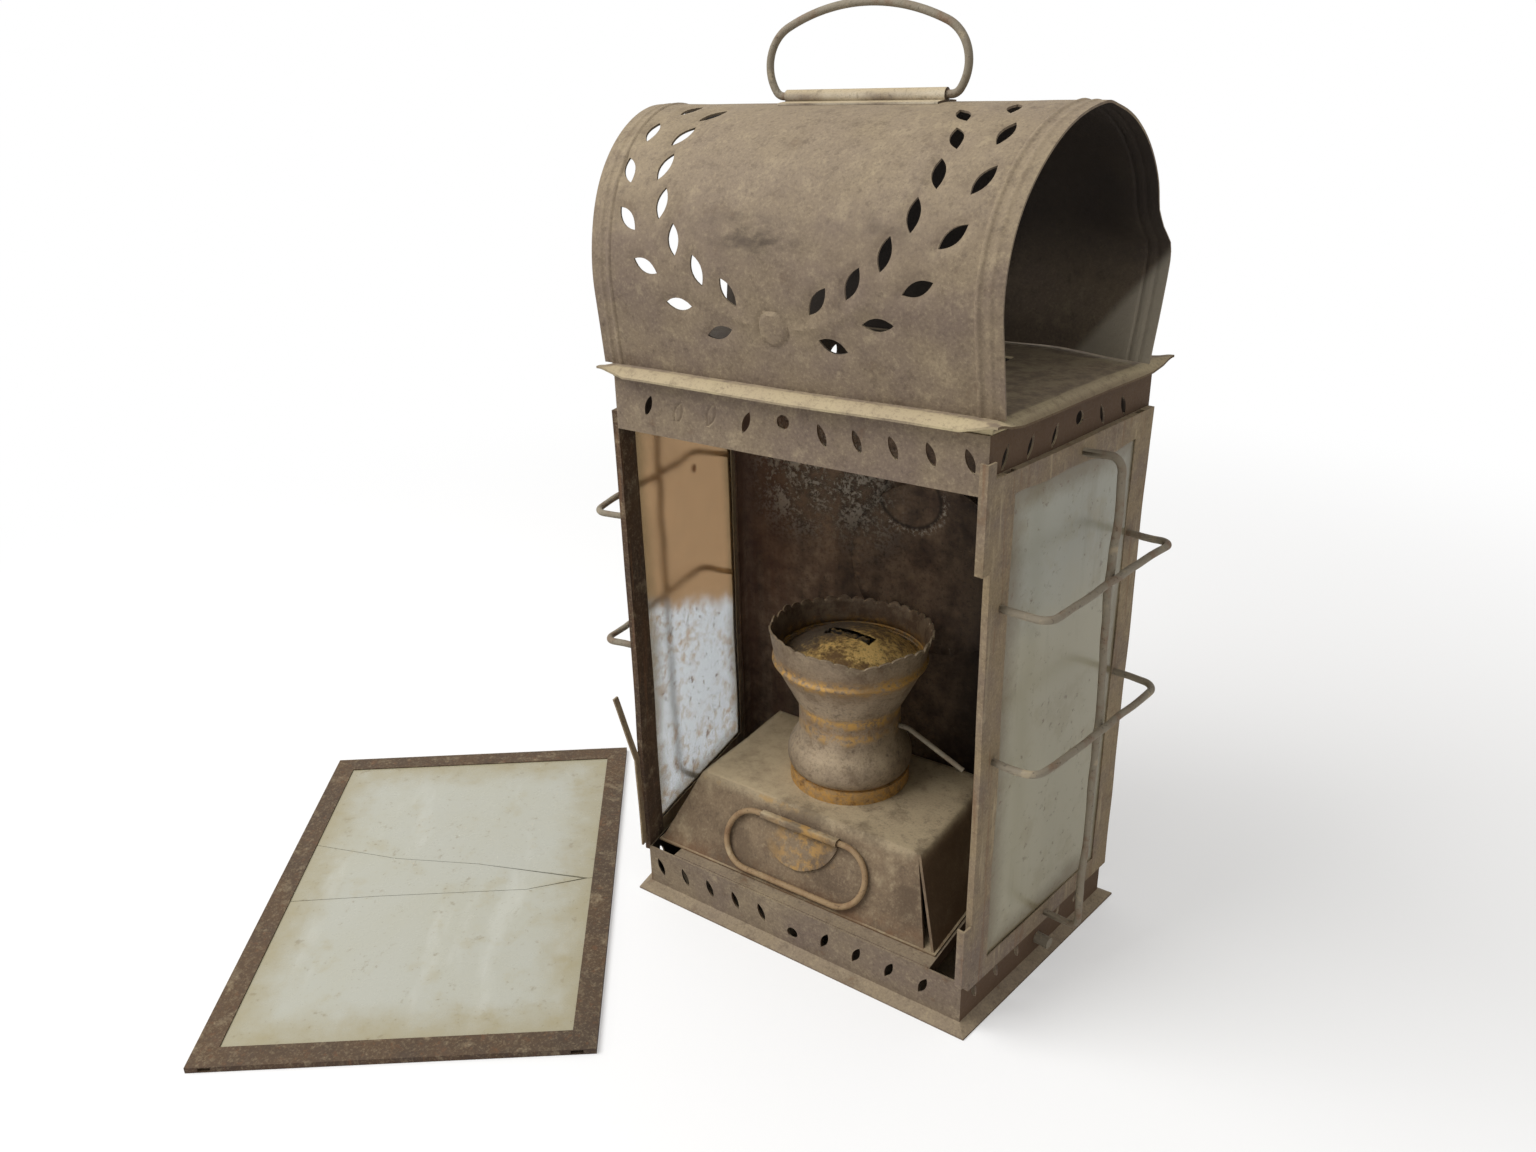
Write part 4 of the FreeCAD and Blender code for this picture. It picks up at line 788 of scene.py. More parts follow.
def on_hood(x, rise):
    """Point, outward normal and upward direction of the hood's front, by the rise along its sheet."""
    angle = max(rise - HOOD_WALL, 0.0) / HOOD_RADIUS - HOOD_LEAN
    normal = Vector((0.0, -math.cos(angle), math.sin(angle)))
    upward = Vector((0.0, math.sin(angle), math.cos(angle)))
    point = Vector((x, 0.0, HOOD_AXIS)) + normal * HOOD_RADIUS - upward * max(HOOD_WALL - rise, 0.0)
    return point, normal, upward


def arch(x, rise, out):
    """Points of the hood's sheet by their distance along it from its front foot, let out by a relief."""
    turn = np.clip((rise - HOOD_WALL) / HOOD_RADIUS, 0.0, math.pi + 2.0 * HOOD_LEAN) - HOOD_LEAN
    straight = rise - HOOD_WALL - (turn + HOOD_LEAN) * HOOD_RADIUS
    reach = HOOD_RADIUS + out
    y = np.sin(turn) * straight - np.cos(turn) * reach
    z = HOOD_AXIS + np.cos(turn) * straight + np.sin(turn) * reach
    return np.column_stack([x, y, z])


def leaf_places():
    """Place on the hood's sheet and heading of each punched leaf of the wreath."""
    for branch in (1, -1):
        for pair in range(LEAF_PAIRS):
            angle = math.radians(LEAF_FIRST + pair * LEAF_STEP)
            splay = math.radians(SPLAY_FIRST - pair * SPLAY_STEP)
            for row in (1, -1):
                radius = WREATH_RADIUS - row * WREATH_SPREAD
                heading = angle + row * splay
                yield (WREATH_X + branch * radius * math.sin(angle), WREATH_RISE - radius * math.cos(angle),
                       heading if branch == 1 else math.pi - heading)


# Pieces


class LANTERN_OT_hood(Operator):
    """Beat the barrel hood from one sheet: beads, boss, faint stems, dished leaves, a buckled rear corner"""

    bl_idname = "lantern.hood"
    bl_label = "Beaten Hood"

    def execute(self, context):
        shape, finish = context.scene.lantern_shape, context.scene.lantern_finish
        beaded, wreathed = 12.0, 118.0
        near_end = np.arange(0.0, beaded, 0.5) * MM
        middle = np.linspace(0.0, 1.0, 125)
        share = np.concatenate([0.0 * near_end, middle, 0.0 * near_end + 1.0])
        inset = np.concatenate([near_end, (beaded - 2.0 * beaded * middle) * MM, -near_end[::-1]])
        rises = np.concatenate([np.arange(0.0, wreathed, 1.25) * MM,
                                np.linspace(wreathed * MM, HOOD_SHEET, 40)])
        hood = flat_grid("beaten_hood", len(share), len(rises))

        def roll(points):
            """Roll the flat grid over the arch, raised and sunk as the punches left it."""
            across, along = ((points[:, axis] + 1.0) / 2.0 for axis in (0, 1))
            stations = np.linspace(0.0, 1.0, len(share))
            rise = np.interp(along, np.linspace(0.0, 1.0, len(rises)), rises)
            flat = arch(0.0 * rise, rise, 0.0)
            left, right = -HOOD_LEFT - SIDE_FLARE * flat[:, 1], HOOD_RIGHT + SIDE_FLARE * flat[:, 1]
            x = left + np.interp(across, stations, share) * (right - left)
            x = x + np.interp(across, stations, inset)
            out = self.beads(np.minimum(x - left, right - x)) + self.wreath(x, rise, shape.leaf_dish)
            return arch(x, rise, out)

        reshape(hood, roll)
        thicken(hood)
        self.punch_leaves(hood)
        reshape(hood, self.buckle)
        points = vertex_points(hood)
        beside = np.maximum(np.abs(points[:, 0]) - SLEEVE_HALF, 0.0)
        from_sleeve = np.hypot(beside, np.hypot(points[:, 1], points[:, 2] - HOOD_AXIS - HOOD_RADIUS))
        waver(hood, shape, weights=ease(from_sleeve, 10.0 * MM, 35.0 * MM))
        finish_piece(hood, hood_tin(finish, "hood_tin"), "lantern_body", ["hood"])
        return {"FINISHED"}

    def beads(self, inset):
        """Two raised beads beside each end."""
        outer, inner = (np.clip(1.0 - ((inset - middle * MM) / BEAD_HALF) ** 2, 0.0, 1.0)
                        for middle in (4.4, 8.4))
        return BEAD_PROUD * (outer * 0.45 + inner * 0.8)

    def wreath(self, x, rise, dish):
        """Boss, stems that fade as they climb, and the sunk edges of the leaves."""
        from_middle = np.hypot(x - WREATH_X, rise - WREATH_RISE)
        turn = np.degrees(np.arctan2(np.abs(x - WREATH_X), WREATH_RISE - rise))
        stem = np.exp(-((from_middle - WREATH_RADIUS) / (0.8 * MM)) ** 2)
        stem = stem * np.interp(turn, [0.0, 18.0, 34.0, 52.0, 116.0], [0.62, 0.55, 0.26, 0.08, 0.0]) * MM
        from_boss = np.hypot(x - WREATH_X, rise - WREATH_RISE + WREATH_RADIUS)
        boss = (1.0 - ease(from_boss, 5.2 * MM, 6.0 * MM)) * 0.65 * MM - 0.6 * MM * np.exp(
            -((from_boss - 6.5 * MM) / (0.7 * MM)) ** 2)
        out = np.where(from_boss < 6.4 * MM, 0.0, stem) + boss
        for middle_x, middle_rise, heading in leaf_places():
            ahead = (x - middle_x) * math.cos(heading) + (rise - middle_rise) * math.sin(heading)
            aside = (rise - middle_rise) * math.cos(heading) - (x - middle_x) * math.sin(heading)
            half = LEAF_WIDE * np.clip(1.0 - (ahead / LEAF_HALF) ** 2, 0.0, 1.0)
            gap = np.hypot(np.maximum(np.abs(aside) - half, 0.0), np.maximum(np.abs(ahead) - LEAF_HALF, 0.0))
            out = out - dish * np.exp(-(gap / (1.8 * MM)) ** 2)
        return out

    def punch_leaves(self, hood):
        """Cut the leaves through the sheet with one punch, copied to each place."""
        bpy.ops.object.select_all(action="DESELECT")
        bpy.ops.mesh.primitive_circle_add(vertices=32, radius=1.0, fill_type="NGON")
        punch = bpy.context.object
        reshape(punch, lambda old: np.column_stack([
            old[:, 0] * LEAF_HALF, old[:, 1] * np.abs(old[:, 1]) * LEAF_WIDE, old[:, 2]]))
        edit_all(punch)
        bpy.ops.mesh.extrude_region_move(TRANSFORM_OT_translate={"value": (0.0, 0.0, 2.0 * PUNCH_HALF)})
        bpy.ops.mesh.select_all(action="SELECT")
        bpy.ops.mesh.normals_make_consistent(inside=False)
        bpy.ops.object.mode_set(mode="OBJECT")
        for middle_x, middle_rise, heading in leaf_places():
            centre, normal, upward = on_hood(middle_x, middle_rise)
            along = Vector((math.cos(heading), 0.0, 0.0)) + upward * math.sin(heading)
            place = Matrix((along, normal.cross(along), normal)).transposed().to_4x4()
            place.translation = centre - normal * PUNCH_HALF
            copy = bpy.data.objects.new("leaf_punch", punch.data.copy())
            copy.data.transform(place)
            bpy.context.scene.collection.objects.link(copy)
            copy.select_set(True)
        punch.data.transform(Matrix.Translation((0.0, 0.0, -1.0)))
        bpy.ops.object.join()
        only(hood)
        cut = hood.modifiers.new("leaves", "BOOLEAN")
        cut.operation, cut.solver, cut.object = "DIFFERENCE", "EXACT", punch
        bpy.ops.object.modifier_apply(modifier=cut.name)
        bpy.data.objects.remove(punch)

    def buckle(self, points):
        """Shove the rear of the right end forward, creased above the middle, and lift its foot a little."""
        x, y, z = points.T
        inward = HOOD_RIGHT + SIDE_FLARE * y - x
        rear = ease(y, -8.0 * MM, 14.0 * MM)
        levels = np.array([247.0, 252.0, 269.0, 284.0, 289.0, 297.0, 303.0, 312.0, 330.0, 338.0]) * MM
        shoves = np.array([12.0, 11.5, 8.5, 6.5, 7.5, 17.5, 20.5, 17.5, 14.5, 12.0]) * MM
        shove = np.interp(z, levels, shoves)
        lift = np.interp(z, levels[:4], np.array([0.8, 0.6, 0.2, 0.0]) * MM)
        short = 1.0 - ease(inward, -2.0 * MM, 46.0 * MM)
        long = 1.0 - ease(inward, 10.0 * MM, 95.0 * MM)
        return np.column_stack([x, y - shove * short * rear, z + lift * long * rear])


class LANTERN_OT_sheets(Operator):
    """Paint the bands, strike the uncut leaves, bend down the rim, and let rim, strips and lips waver"""

    bl_idname = "lantern.sheets"
    bl_label = "Hand-bent Sheets"

    def execute(self, context):
        shape, finish = context.scene.lantern_shape, context.scene.lantern_finish
        top = outside_tin(finish, "top_tin_finish")
        rim = outside_tin(finish, "rim_tin_finish", "rim", dusty=0.8)
        base = outside_tin(finish, "base_tin_finish", dusty=0.25, rusty=0.5)
        strips = frame_tin(finish, "frame_tin_finish")
        # Painted shade with rust on the left front stile, in the dark colour of the door's strips
        shaded_rusty_stile = frame_tin(finish, "dark_frame_finish", "door_strip", dusty=0.1, worn=0.1)
        for node in ("rim_cove", "top_plate"):
            finish_piece(self.eave(node, shape), rim, "lantern_body", [node])
        for node in ("base_band", "base_floor", "font_shelf"):
            paint_node(node, base)
        upper = merged_copy("upper_band", "struck_upper_band", dissolve=False)
        for centre in STRUCK_LEAVES:
            self.strike_leaf(upper, centre, shape.mark_depth)
        finish_piece(upper, top, "lantern_body", ["upper_band"], angle=12.0)
        for side in ("right", "left"):
            for strip in ("front_stile", "rear_stile", "bottom_rail", "top_rail"):
                node = f"{strip}_{side}"
                sheet = merged_copy(node, "hand_bent_" + node)
                cut_across(sheet, cuts_along(sheet, 1, 5.0 * MM) + cuts_along(sheet, 2, 5.0 * MM))
                if node == "top_rail_right":
                    reshape(sheet, self.ragged_rail)
                waver(sheet, shape)
                tin = shaded_rusty_stile if node == "front_stile_left" else strips
                finish_piece(sheet, tin, "lantern_body", [node])
        for node in ("door_lip_upper", "door_lip_lower", "door_lip_torn"):
            finish_piece(hand_bent(node, shape, (2,), 4.0), strips, "lantern_body", [node])
        paint_node("handle_sleeve", outside_tin(finish, "sleeve_tin", "sleeve", dusty=0.9, rusty=0.1))
        return {"FINISHED"}

    def eave(self, node, shape):
        """A sheet of the rim, bent down round its edge and left up at the corners."""
        sheet = merged_copy(node, "hand_bent_" + node)
        cut_across(sheet, cuts_along(sheet, 0, 8.0 * MM) + cuts_along(sheet, 1, 8.0 * MM))
        low, high = (Vector(corner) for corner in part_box("top_plate"))
        sides = [(Vector((0.0, -1.0, 0.0)), -low.y), (Vector((0.0, 1.0, 0.0)), high.y),
                 (Vector((1.0, -SIDE_FLARE, 0.0)), high.x - SIDE_FLARE * high.y),
                 (Vector((-1.0, -SIDE_FLARE, 0.0)), -low.x - SIDE_FLARE * high.y)]
        bent = 5.5 * MM
        cut_across(sheet, [(normal * ((reach - depth * MM) / normal.length_squared), normal)
                           for normal, reach in sides for depth in (0.8, 1.6, 2.6, 3.8, 5.4)])

        def bend(points):
            gaps = np.sort([reach - points @ np.array(normal) for normal, reach in sides], axis=0)
            share = np.clip(1.0 - gaps[0] / bent, 0.0, 1.0) ** 2 * ease(gaps[1], 1.0 * MM, 13.0 * MM)
            return lifted(points, -share * shape.eave_drop)

        reshape(sheet, bend)
        waver(sheet, shape)
        return sheet

    def strike_leaf(self, band_sheet, centre, depth):
        """Sink the outline of a leaf into the front of the band, not cut through."""
        reach = np.array([4.4, 3.0, 6.0]) * MM
        grid = 0.4 * MM

        def inside():
            away = np.abs(vertex_points(band_sheet) - np.array(centre))
            return np.all(away < reach + 0.01 * MM, axis=1)

        sides = [Vector((1.0, 0.0, 0.0)), Vector((0.0, 0.0, 1.0))]
        cut_across(band_sheet, [(centre + normal * end * reach[axis], normal)
                                for axis, normal in zip((0, 2), sides) for end in (-1.0, 1.0)])
        for axis, normal in zip((0, 2), sides):
            for place in np.arange(-reach[axis], reach[axis], grid)[1:]:
                select_vertices(band_sheet, inside())
                bpy.ops.mesh.bisect(plane_co=centre + normal * place, plane_no=normal)
                bpy.ops.object.mode_set(mode="OBJECT")

        def groove(points):
            along, up = points[:, 0] - centre.x, points[:, 2] - centre.z
            lean = math.radians(20.0)
            ahead = up * math.cos(lean) + along * math.sin(lean)
            aside = np.abs(along * math.cos(lean) - up * math.sin(lean))
            half = 1.7 * MM * np.clip(1.0 - (ahead / (4.6 * MM)) ** 2, 0.0, 1.0)
            struck = (aside < half + 1.2 * MM) & (np.abs(ahead) < 5.0 * MM) & (points[:, 1] < -50.0 * MM)
            sunk = np.exp(-((aside - half) / (0.5 * MM)) ** 2) * struck
            return points + np.outer(sunk * depth, [0.0, 1.0, 0.0])

        reshape(band_sheet, groove)

    def ragged_rail(self, points):
        """Let the lower edge of the right top rail wander."""
        foot = points[:, 2].min()
        share = 1.0 - ease(points[:, 2], foot, foot + 5.0 * MM)
        places = np.array([-52.0, -38.0, -22.0, -8.0, 6.0, 20.0, 34.0, 52.0]) * MM
        lifts = np.array([0.0, 1.2, 0.2, 1.0, 0.4, -2.2, -0.8, 0.0]) * MM
        return lifted(points, share * np.interp(points[:, 1], places, lifts))


class LANTERN_OT_back(Operator):
    """Let the back wall and its reflector waver, and blacken them"""

    bl_idname = "lantern.back"
    bl_label = "Sooty Back"

    def execute(self, context):
        shape = context.scene.lantern_shape
        soot = sooty_tin(context.scene.lantern_finish, "sooty_tin")
        for node in ("back_panel", "reflector"):
            finish_piece(hand_bent(node, shape, (0, 2), 6.0), soot, "lantern_body", [node])
        return {"FINISHED"}


class LANTERN_OT_wires(Operator):
    """Let the guard wires wobble, and paint handle, peg, pull ring and spindle"""

    bl_idname = "lantern.wires"
    bl_label = "Wires"

    def execute(self, context):
        shape = context.scene.lantern_shape
        wire = wire_metal(context.scene.lantern_finish, "iron_wire")
        for side in ("right", "left"):
            for level in ("low", "high", "upright"):
                node = f"guard_{level}_{side}"
                guard = hand_bent(node, shape, (1, 2) if level == "upright" else (0, 1), 4.0)
                points = vertex_points(guard)
                out = np.abs(points[:, 0]) - SIDE_FLARE * points[:, 1]
                wobble = clouds("wire_wobble", 26.0 * MM, colour=True)
                stray(guard, wobble, 2.4 * MM, weights=ease(out, 88.0 * MM, 96.0 * MM))
                finish_piece(guard, wire, "lantern_body", [node], angle=60.0)
        for node in ("bail_handle", "side_peg", "wick_spindle"):
            paint_node(node, wire)
        paint_node("pull_ring", wire_metal(context.scene.lantern_finish, "brown_wire", "ring"))
        return {"FINISHED"}


class LANTERN_OT_font(Operator):
    """Let the tank of the oil font waver, swell the front of its tongue, and paint them"""

    bl_idname = "lantern.font"
    bl_label = "Oil Font"

    def execute(self, context):
        shape = context.scene.lantern_shape
        tin = font_tin(context.scene.lantern_finish, "font_tin_finish")
        tank = merged_copy("font_tank", "hand_bent_font_tank")
        cut_across(tank, [cut for axis in range(3) for cut in cuts_along(tank, axis, 6.0 * MM)])
        points = vertex_points(tank)
        from_burner = np.hypot(points[:, 0] - BURNER.x, points[:, 1] - BURNER.y)
        low, high = (np.array(corner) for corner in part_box("pull_tongue"))
        outside = np.maximum(np.maximum(low - points, points - high), 0.0)
        free = ease(from_burner, 29.0 * MM, 42.0 * MM) * ease(points[:, 2], 24.5 * MM, 32.0 * MM)
        free = free * ease(np.linalg.norm(outside, axis=1), 3.0 * MM, 16.0 * MM)
        waver(tank, shape, 1.2, free)
        finish_piece(tank, tin, "oil_font", ["font_tank"])
        paint_node("font_base", tin)
        tongue = merged_copy("pull_tongue", "hammered_pull_tongue")
        swell = ease(vertex_points(tongue, "normal") @ TONGUE_OUT, 0.3, 0.6) * 0.7 * MM
        reshape(tongue, lambda old: old + np.outer(swell, TONGUE_OUT))
        finish_piece(tongue, font_tin(context.scene.lantern_finish, "tongue_tin", tongue=True), "oil_font",
                     ["pull_tongue"])
        return {"FINISHED"}


class LANTERN_OT_burner(Operator):
    """Draw in the flare of the burner, turn its worn cup, and pile rust crumbs on its dome"""

    bl_idname = "lantern.burner"
    bl_label = "Burner"

    # Height of the worn rim round the cup in millimetres, by turn in degrees, and the width of a tooth
    TURNS = (-180, -163, -140, -121, -97, -73, -59, -53, -43, -32,
             -20, -5, 11, 37, 66, 90, 113, 136, 160, 180)
    TOPS = (129.0, 128.0, 130.0, 131.2, 130.4, 129.8, 127.7, 126.2, 127.0, 127.6,
            128.6, 127.6, 128.6, 128.8, 127.4, 127.0, 126.6, 126.6, 127.6, 129.0)
    TOOTH = 10.0

    def execute(self, context):
        shape, finish = context.scene.lantern_shape, context.scene.lantern_finish
        metal = burner_metal(finish, "burner_metal_finish")
        for node in ("font_collar", "burner_air_plate", "wick_wheel_right", "wick_wheel_left"):
            paint_node(node, metal)
        throat = merged_copy("burner_throat", "worn_burner_throat")
        reshape(throat, self.draw_in)
        finish_piece(throat, metal, "burner", ["burner_throat"])
        tube = merged_copy("wick_tube", "burnt_wick_tube")
        burnt = 2.6 * MM
        reshape(tube, lambda old: lifted(old, ease(old[:, 2], 118.0 * MM, 124.6 * MM) * -burnt))
        finish_piece(tube, metal, "burner", ["wick_tube"])
        finish_piece(self.turn_cup(), metal, "burner", ["gallery_cup"], angle=50.0)
        dome = merged_copy("flame_dome", "crusted_flame_dome")
        cut_across(dome, cuts_along(dome, 0, 1.3 * MM) + cuts_along(dome, 1, 1.3 * MM))
        reshape(dome, self.draw_in)
        self.pile_crumbs(dome, shape.crumb_height)
        crust = burner_metal(finish, "burner_crust", crust=True)
        finish_piece(dome, crust, "burner", ["flame_dome"], angle=50.0)
        return {"FINISHED"}

    def draw_in(self, points):
        """Narrow the flare above the waist towards its top."""
        x, y = points[:, 0] - BURNER.x, points[:, 1] - BURNER.y
        reach = np.hypot(x, y)
        draw = np.clip((points[:, 2] - WAIST_TOP) / (THROAT_TOP - WAIST_TOP), 0.0, 1.0) * FLARE_DRAW
        scale = 1.0 - draw * ease(reach, 14.0 * MM, 33.0 * MM) / np.maximum(reach, 1.0 * MM)
        return np.column_stack([BURNER.x + x * scale, BURNER.y + y * scale, points[:, 2]])

    def turn_cup(self):
        """A tapered cup with a bead at its foot, its rim worn smooth in front and toothed behind."""
        heights = np.array([113.8, 114.3, 114.9, 115.5, 116.0, 116.5, 118.0, 120.0, 122.0,
                            124.0, 125.5, 126.7, 127.5, 128.2, 128.9, 129.5, 130.1, 130.7]) * MM
        radii = np.array([32.8, 33.5, 33.8, 33.6, 33.1, 32.8, 33.0, 33.3, 33.6,
                          33.9, 34.15, 34.3, 34.4, 34.5, 34.6, 34.7, 34.8, 34.9]) * MM
        bead_top = heights[4]
        cup = flat_grid("worn_gallery_cup", 361, len(heights))

        def turned(points):
            turn = points[:, 0] * 180.0
            row = (points[:, 1] + 1.0) / 2.0 * (len(heights) - 1)
            z = np.interp(row, np.arange(len(heights)), heights)
            reach = np.interp(row, np.arange(len(heights)), radii)
            share = np.clip((z - bead_top) / (CUP_TOP - bead_top), 0.0, 1.0)
            tip = ease(z, TOOTH_ROOT, CUP_TOP)
            worn = 1.0 - ease(np.abs(turn + 85.0), 55.0, 95.0)
            teeth = (turn + 180.0) / self.TOOTH
            wild = np.sin((np.floor(teeth) % (360.0 / self.TOOTH)) * 12.9898) * 43758.5453
            wild = wild - np.floor(wild) - 0.5
            notch = np.abs(teeth % 1.0 * 2.0 - 1.0) ** 3
            top = np.interp(turn, self.TURNS, np.array(self.TOPS) * MM)
            z = z + share * (top - CUP_TOP) - tip * notch * (2.4 - 1.7 * worn) * MM
            z = z + tip * wild * (0.9 - 0.6 * worn) * MM
            swell = np.sin(np.radians(turn) * 3.0) * 0.5 + np.sin(np.radians(turn) * 5.0 + 1.0) * 0.3
            reach = reach + share * swell * 0.7 * MM + tip * (0.35 + wild * 0.7) * (1.0 - worn * 0.6) * MM
            return np.column_stack([BURNER.x + np.cos(np.radians(turn)) * reach,
                                    BURNER.y + np.sin(np.radians(turn)) * reach, z])

        reshape(cup, turned)
        thicken(cup)
        return cup

    def pile_crumbs(self, dome, height):
        """Sink the top of the dome and heap crumbs on it, mostly at its right and clear of the wick."""
        points = vertex_points(dome)
        x, y = points[:, 0] - BURNER.x, points[:, 1] - BURNER.y
        upper = vertex_points(dome, "normal")[:, 2] > 0.2
        inside = 1.0 - ease(np.hypot(x, y), 30.0 * MM, 33.5 * MM)
        beside, before = ease(np.abs(x), 9.8 * MM, 11.5 * MM), ease(np.abs(y), 2.2 * MM, 4.5 * MM)
        heaped = upper * inside * (1.0 - (1.0 - beside) * (1.0 - before))
        right = 0.12 + 0.88 * ease(x - 0.25 * y, -9.0 * MM, 6.0 * MM)
        weights = heaped * right
        reshape(dome, lambda old: lifted(old, heaped * -1.6 * MM))
        stray(dome, clouds("crumb_heaps", 6.0 * MM, 3), height, "Z", weights)
        stray(dome, clouds("crumb_grains", 2.2 * MM, 2), height * 0.45, "Z", weights)


class LANTERN_OT_wick(Operator):
    """Weave the flat wick and char its end"""

    bl_idname = "lantern.wick"
    bl_label = "Wick"

    def execute(self, context):
        shape = context.scene.lantern_shape
        wick = merged_copy("wick", "woven_wick")
        warp, weft = 0.75 * MM, 1.0 * MM
        cut_across(wick, cuts_along(wick, 0, warp) + cuts_along(wick, 2, weft))
        low, high = (np.array(corner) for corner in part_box("wick"))
        middle = (low + high) / 2

        def weave(points):
            across, up = points[:, 0] - low[0], points[:, 2] - low[2]
            skin = np.sign(points[:, 1] - middle[1])
            over = 0.5 - 0.5 * np.cos(math.pi * across / warp) * np.cos(math.pi * up / weft) * skin
            fray = ease(points[:, 2], high[2] - 6.0 * MM, high[2])
            ragged = (2.2 + np.abs(np.sin(across * 5200.0)) * 0.9) * MM
            sink = -skin * over * shape.weave_depth
            return points + np.column_stack([np.zeros(len(points)), sink, -fray * ragged])

        reshape(wick, weave)
        cotton = wick_cotton(context.scene.lantern_finish, "wick_cotton")
        finish_piece(wick, cotton, "wick", ["wick"], angle=60.0)
        return {"FINISHED"}


class LANTERN_OT_glass(Operator):
    """Film and grime on the side panes"""

    bl_idname = "lantern.glass"
    bl_label = "Side Panes"

    def execute(self, context):
        for side in ("right", "left"):
            node = f"side_glass_{side}"
            pane = merged_copy(node, "filmed_" + node)
            film = side_pane(context.scene.lantern_finish, f"pane_{side}", smoked=side == "left")
            finish_piece(pane, film, "lantern_body", [node])
        return {"FINISHED"}


class LANTERN_OT_door(Operator):
    """Strips and cracked milky pane of the door that lies beside the lantern"""

    bl_idname = "lantern.door"
    bl_label = "Door"

    def execute(self, context):
        finish = context.scene.lantern_finish
        strips = frame_tin(finish, "door_tin_finish", "door_strip", dusty=0.06, worn=0.15)
        pane = door_pane(finish, "door_pane")
        for node in ("door_stile_left", "door_stile_right", "door_rail_bottom", "door_rail_top"):
            paint_node(node, strips)
        for node in ("door_glass_top", "door_glass_wedge", "door_glass_bottom"):
            paint_node(node, pane)
        return {"FINISHED"}


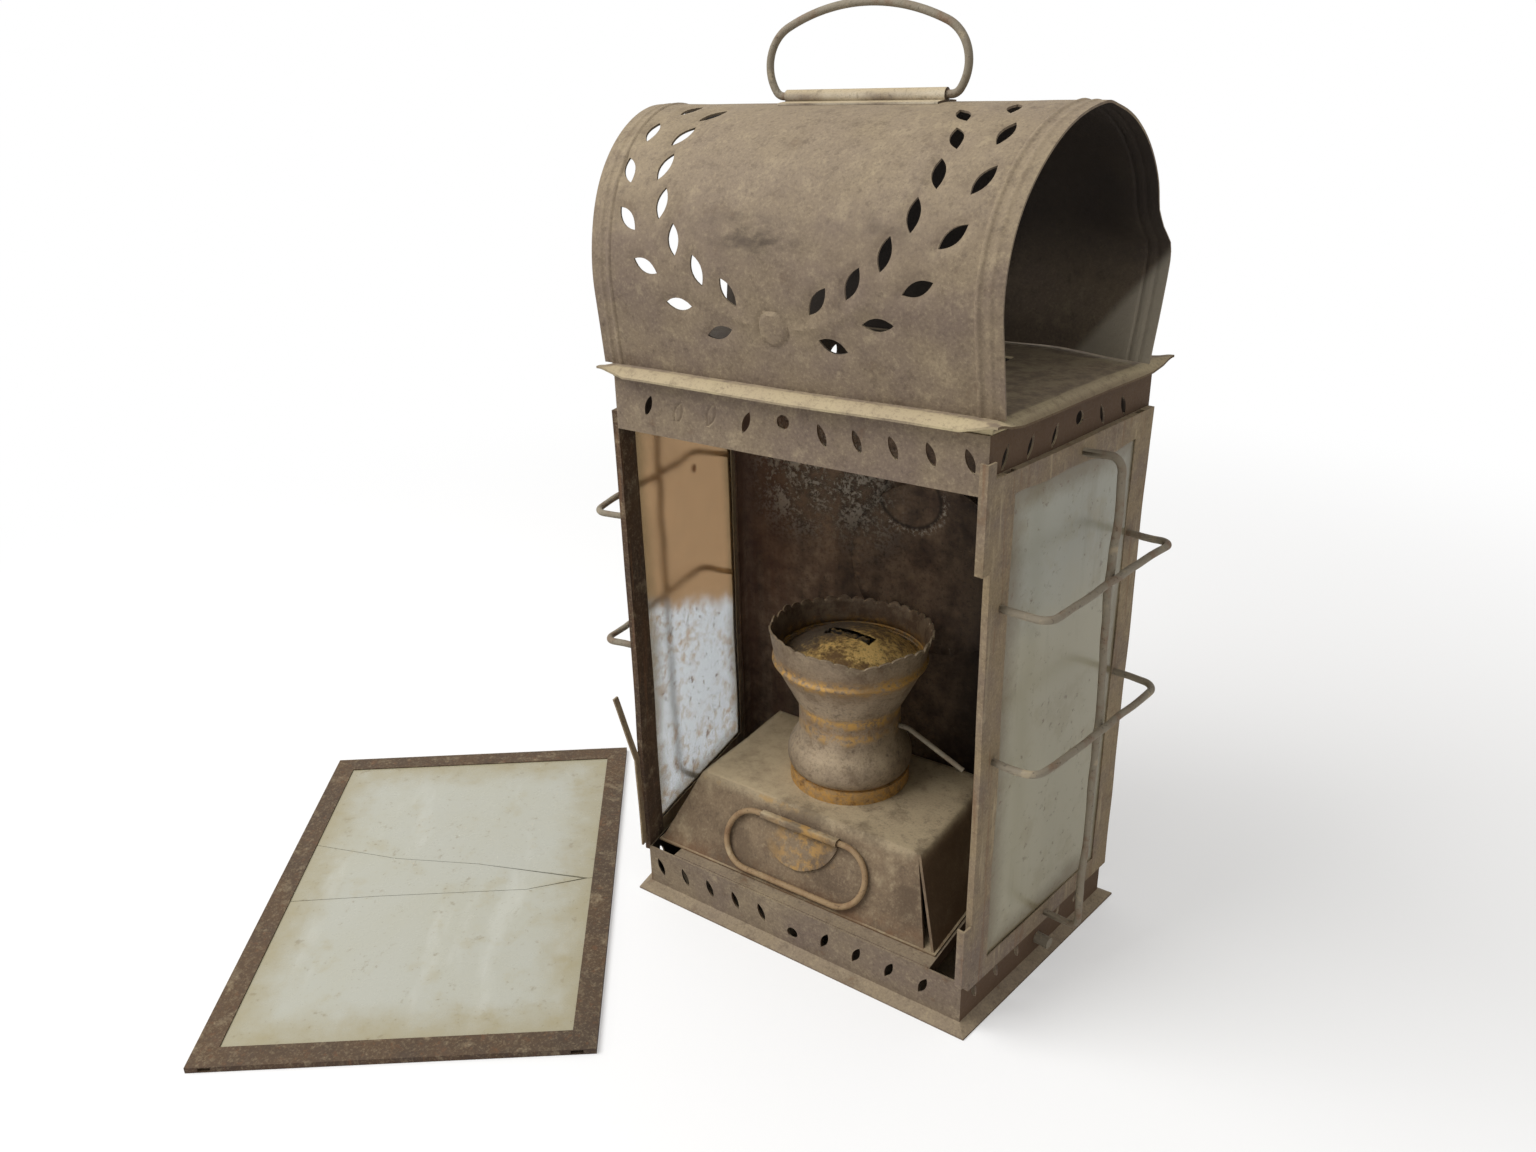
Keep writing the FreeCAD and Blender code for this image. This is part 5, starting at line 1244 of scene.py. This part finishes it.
class LANTERN_OT_stage(Operator):
    """Pale floor, soft light and the camera"""

    bl_idname = "lantern.stage"
    bl_label = "Stage"

    def execute(self, context):
        scene, stage = context.scene, context.scene.lantern_stage
        scene.view_settings.view_transform = "Standard"
        bpy.ops.object.select_all(action="DESELECT")
        bpy.ops.mesh.primitive_plane_add(size=stage.floor_size)
        floor = context.object
        floor.name = "floor"
        floor.data.materials.append(self.floor_material(stage))
        self.light_sky(scene, stage)
        self.hang_lamp(stage.key)
        camera = bpy.data.cameras.new("camera")
        camera.lens, camera.sensor_width = stage.lens, SENSOR_WIDTH
        camera.shift_x, camera.shift_y = CAMERA_SHIFT
        camera.clip_start = 0.01
        stand = bpy.data.objects.new("camera", camera)
        scene.collection.objects.link(stand)
        stand.location = stage.camera_place
        stand.rotation_euler = stage.camera_turn
        scene.camera = stand
        return {"FINISHED"}

    def floor_material(self, stage):
        """Pale floor that fades to white away from the lantern."""
        material, field = new_finish("floor_white")
        at = object_place(field)[0]
        away = field.node("VectorMath", {0: at}, output="Value", operation="LENGTH")
        near_floor = field.node("BsdfPrincipled", {"Base Color": tuple(stage.floor_colour),
                                                   "Roughness": 0.9, "Specular IOR Level": 0.1})
        white = field.node("Emission", {"Color": (1.0, 1.0, 1.0, 1.0), "Strength": 1.0})
        shown = self.seen_by(field, "Camera", "Transmission") * (0.35 + step(away, 0.30, 0.85) * 0.65)
        shader = field.node("MixShader", {0: shown, 1: near_floor, 2: white})
        field.node("OutputMaterial", {"Surface": shader})
        return material

    def seen_by(self, field, *rays):
        """1 to rays of these kinds, 0 to others."""
        seen = field.node("LightPath", output=f"Is {rays[0]} Ray")
        for ray in rays[1:]:
            seen = field.math("MAXIMUM", seen, field.node("LightPath", output=f"Is {ray} Ray"))
        return seen

    def light_sky(self, scene, stage):
        """White to the camera, in gloss and through glass; a soft level of light to all else."""
        world = bpy.data.worlds.new("sky")
        world.use_nodes = True
        world.node_tree.nodes.clear()
        field = Field(world.node_tree)
        shown = self.seen_by(field, "Camera", "Glossy", "Transmission")
        soft = field.node("Background", {"Color": (1.0, 0.985, 0.96, 1.0), "Strength": stage.sky})
        white = field.node("Background", {"Color": (1.0, 1.0, 1.0, 1.0), "Strength": 1.0})
        sky = field.node("MixShader", {0: shown, 1: soft, 2: white})
        field.node("OutputWorld", {"Surface": sky})
        scene.world = world

    def hang_lamp(self, power):
        """A square area lamp aimed at the middle of the lantern."""
        lamp = bpy.data.lights.new("key", "AREA")
        lamp.energy, lamp.size = power, LAMP_SIZE
        holder = bpy.data.objects.new("key", lamp)
        bpy.context.scene.collection.objects.link(holder)
        holder.location = LAMP_PLACE
        holder.rotation_euler = (LAMP_AIM - LAMP_PLACE).to_track_quat("-Z", "Y").to_euler()


STEPS = (LANTERN_OT_hood, LANTERN_OT_sheets, LANTERN_OT_back, LANTERN_OT_wires, LANTERN_OT_font,
         LANTERN_OT_burner, LANTERN_OT_wick, LANTERN_OT_glass, LANTERN_OT_door, LANTERN_OT_stage)


class LANTERN_PT_panel(Panel):
    """Steps that finish the lantern"""

    bl_idname = "LANTERN_PT_panel"
    bl_label = "Lantern"
    bl_space_type = "VIEW_3D"
    bl_region_type = "UI"
    bl_category = "Lantern"

    def draw(self, context):
        for piece in STEPS:
            self.layout.operator(piece.bl_idname)
        for group in (context.scene.lantern_finish, context.scene.lantern_shape, context.scene.lantern_stage):
            for name in group.__annotations__:
                self.layout.prop(group, name)


GROUPS = {"lantern_finish": LanternFinish, "lantern_shape": LanternShape, "lantern_stage": LanternStage}
CLASSES = tuple(GROUPS.values()) + STEPS + (LANTERN_PT_panel,)


def register():
    for cls in CLASSES:
        bpy.utils.register_class(cls)
    for name, group in GROUPS.items():
        setattr(bpy.types.Scene, name, PointerProperty(type=group))


def unregister():
    for name in GROUPS:
        delattr(bpy.types.Scene, name)
    for cls in reversed(CLASSES):
        bpy.utils.unregister_class(cls)


def main():
    register()
    bpy.ops.lantern.hood()
    bpy.ops.lantern.sheets()
    bpy.ops.lantern.back()
    bpy.ops.lantern.wires()
    bpy.ops.lantern.font()
    bpy.ops.lantern.burner()
    bpy.ops.lantern.wick()
    bpy.ops.lantern.glass()
    bpy.ops.lantern.door()
    bpy.ops.lantern.stage()


if __name__ == "__main__":
    main()
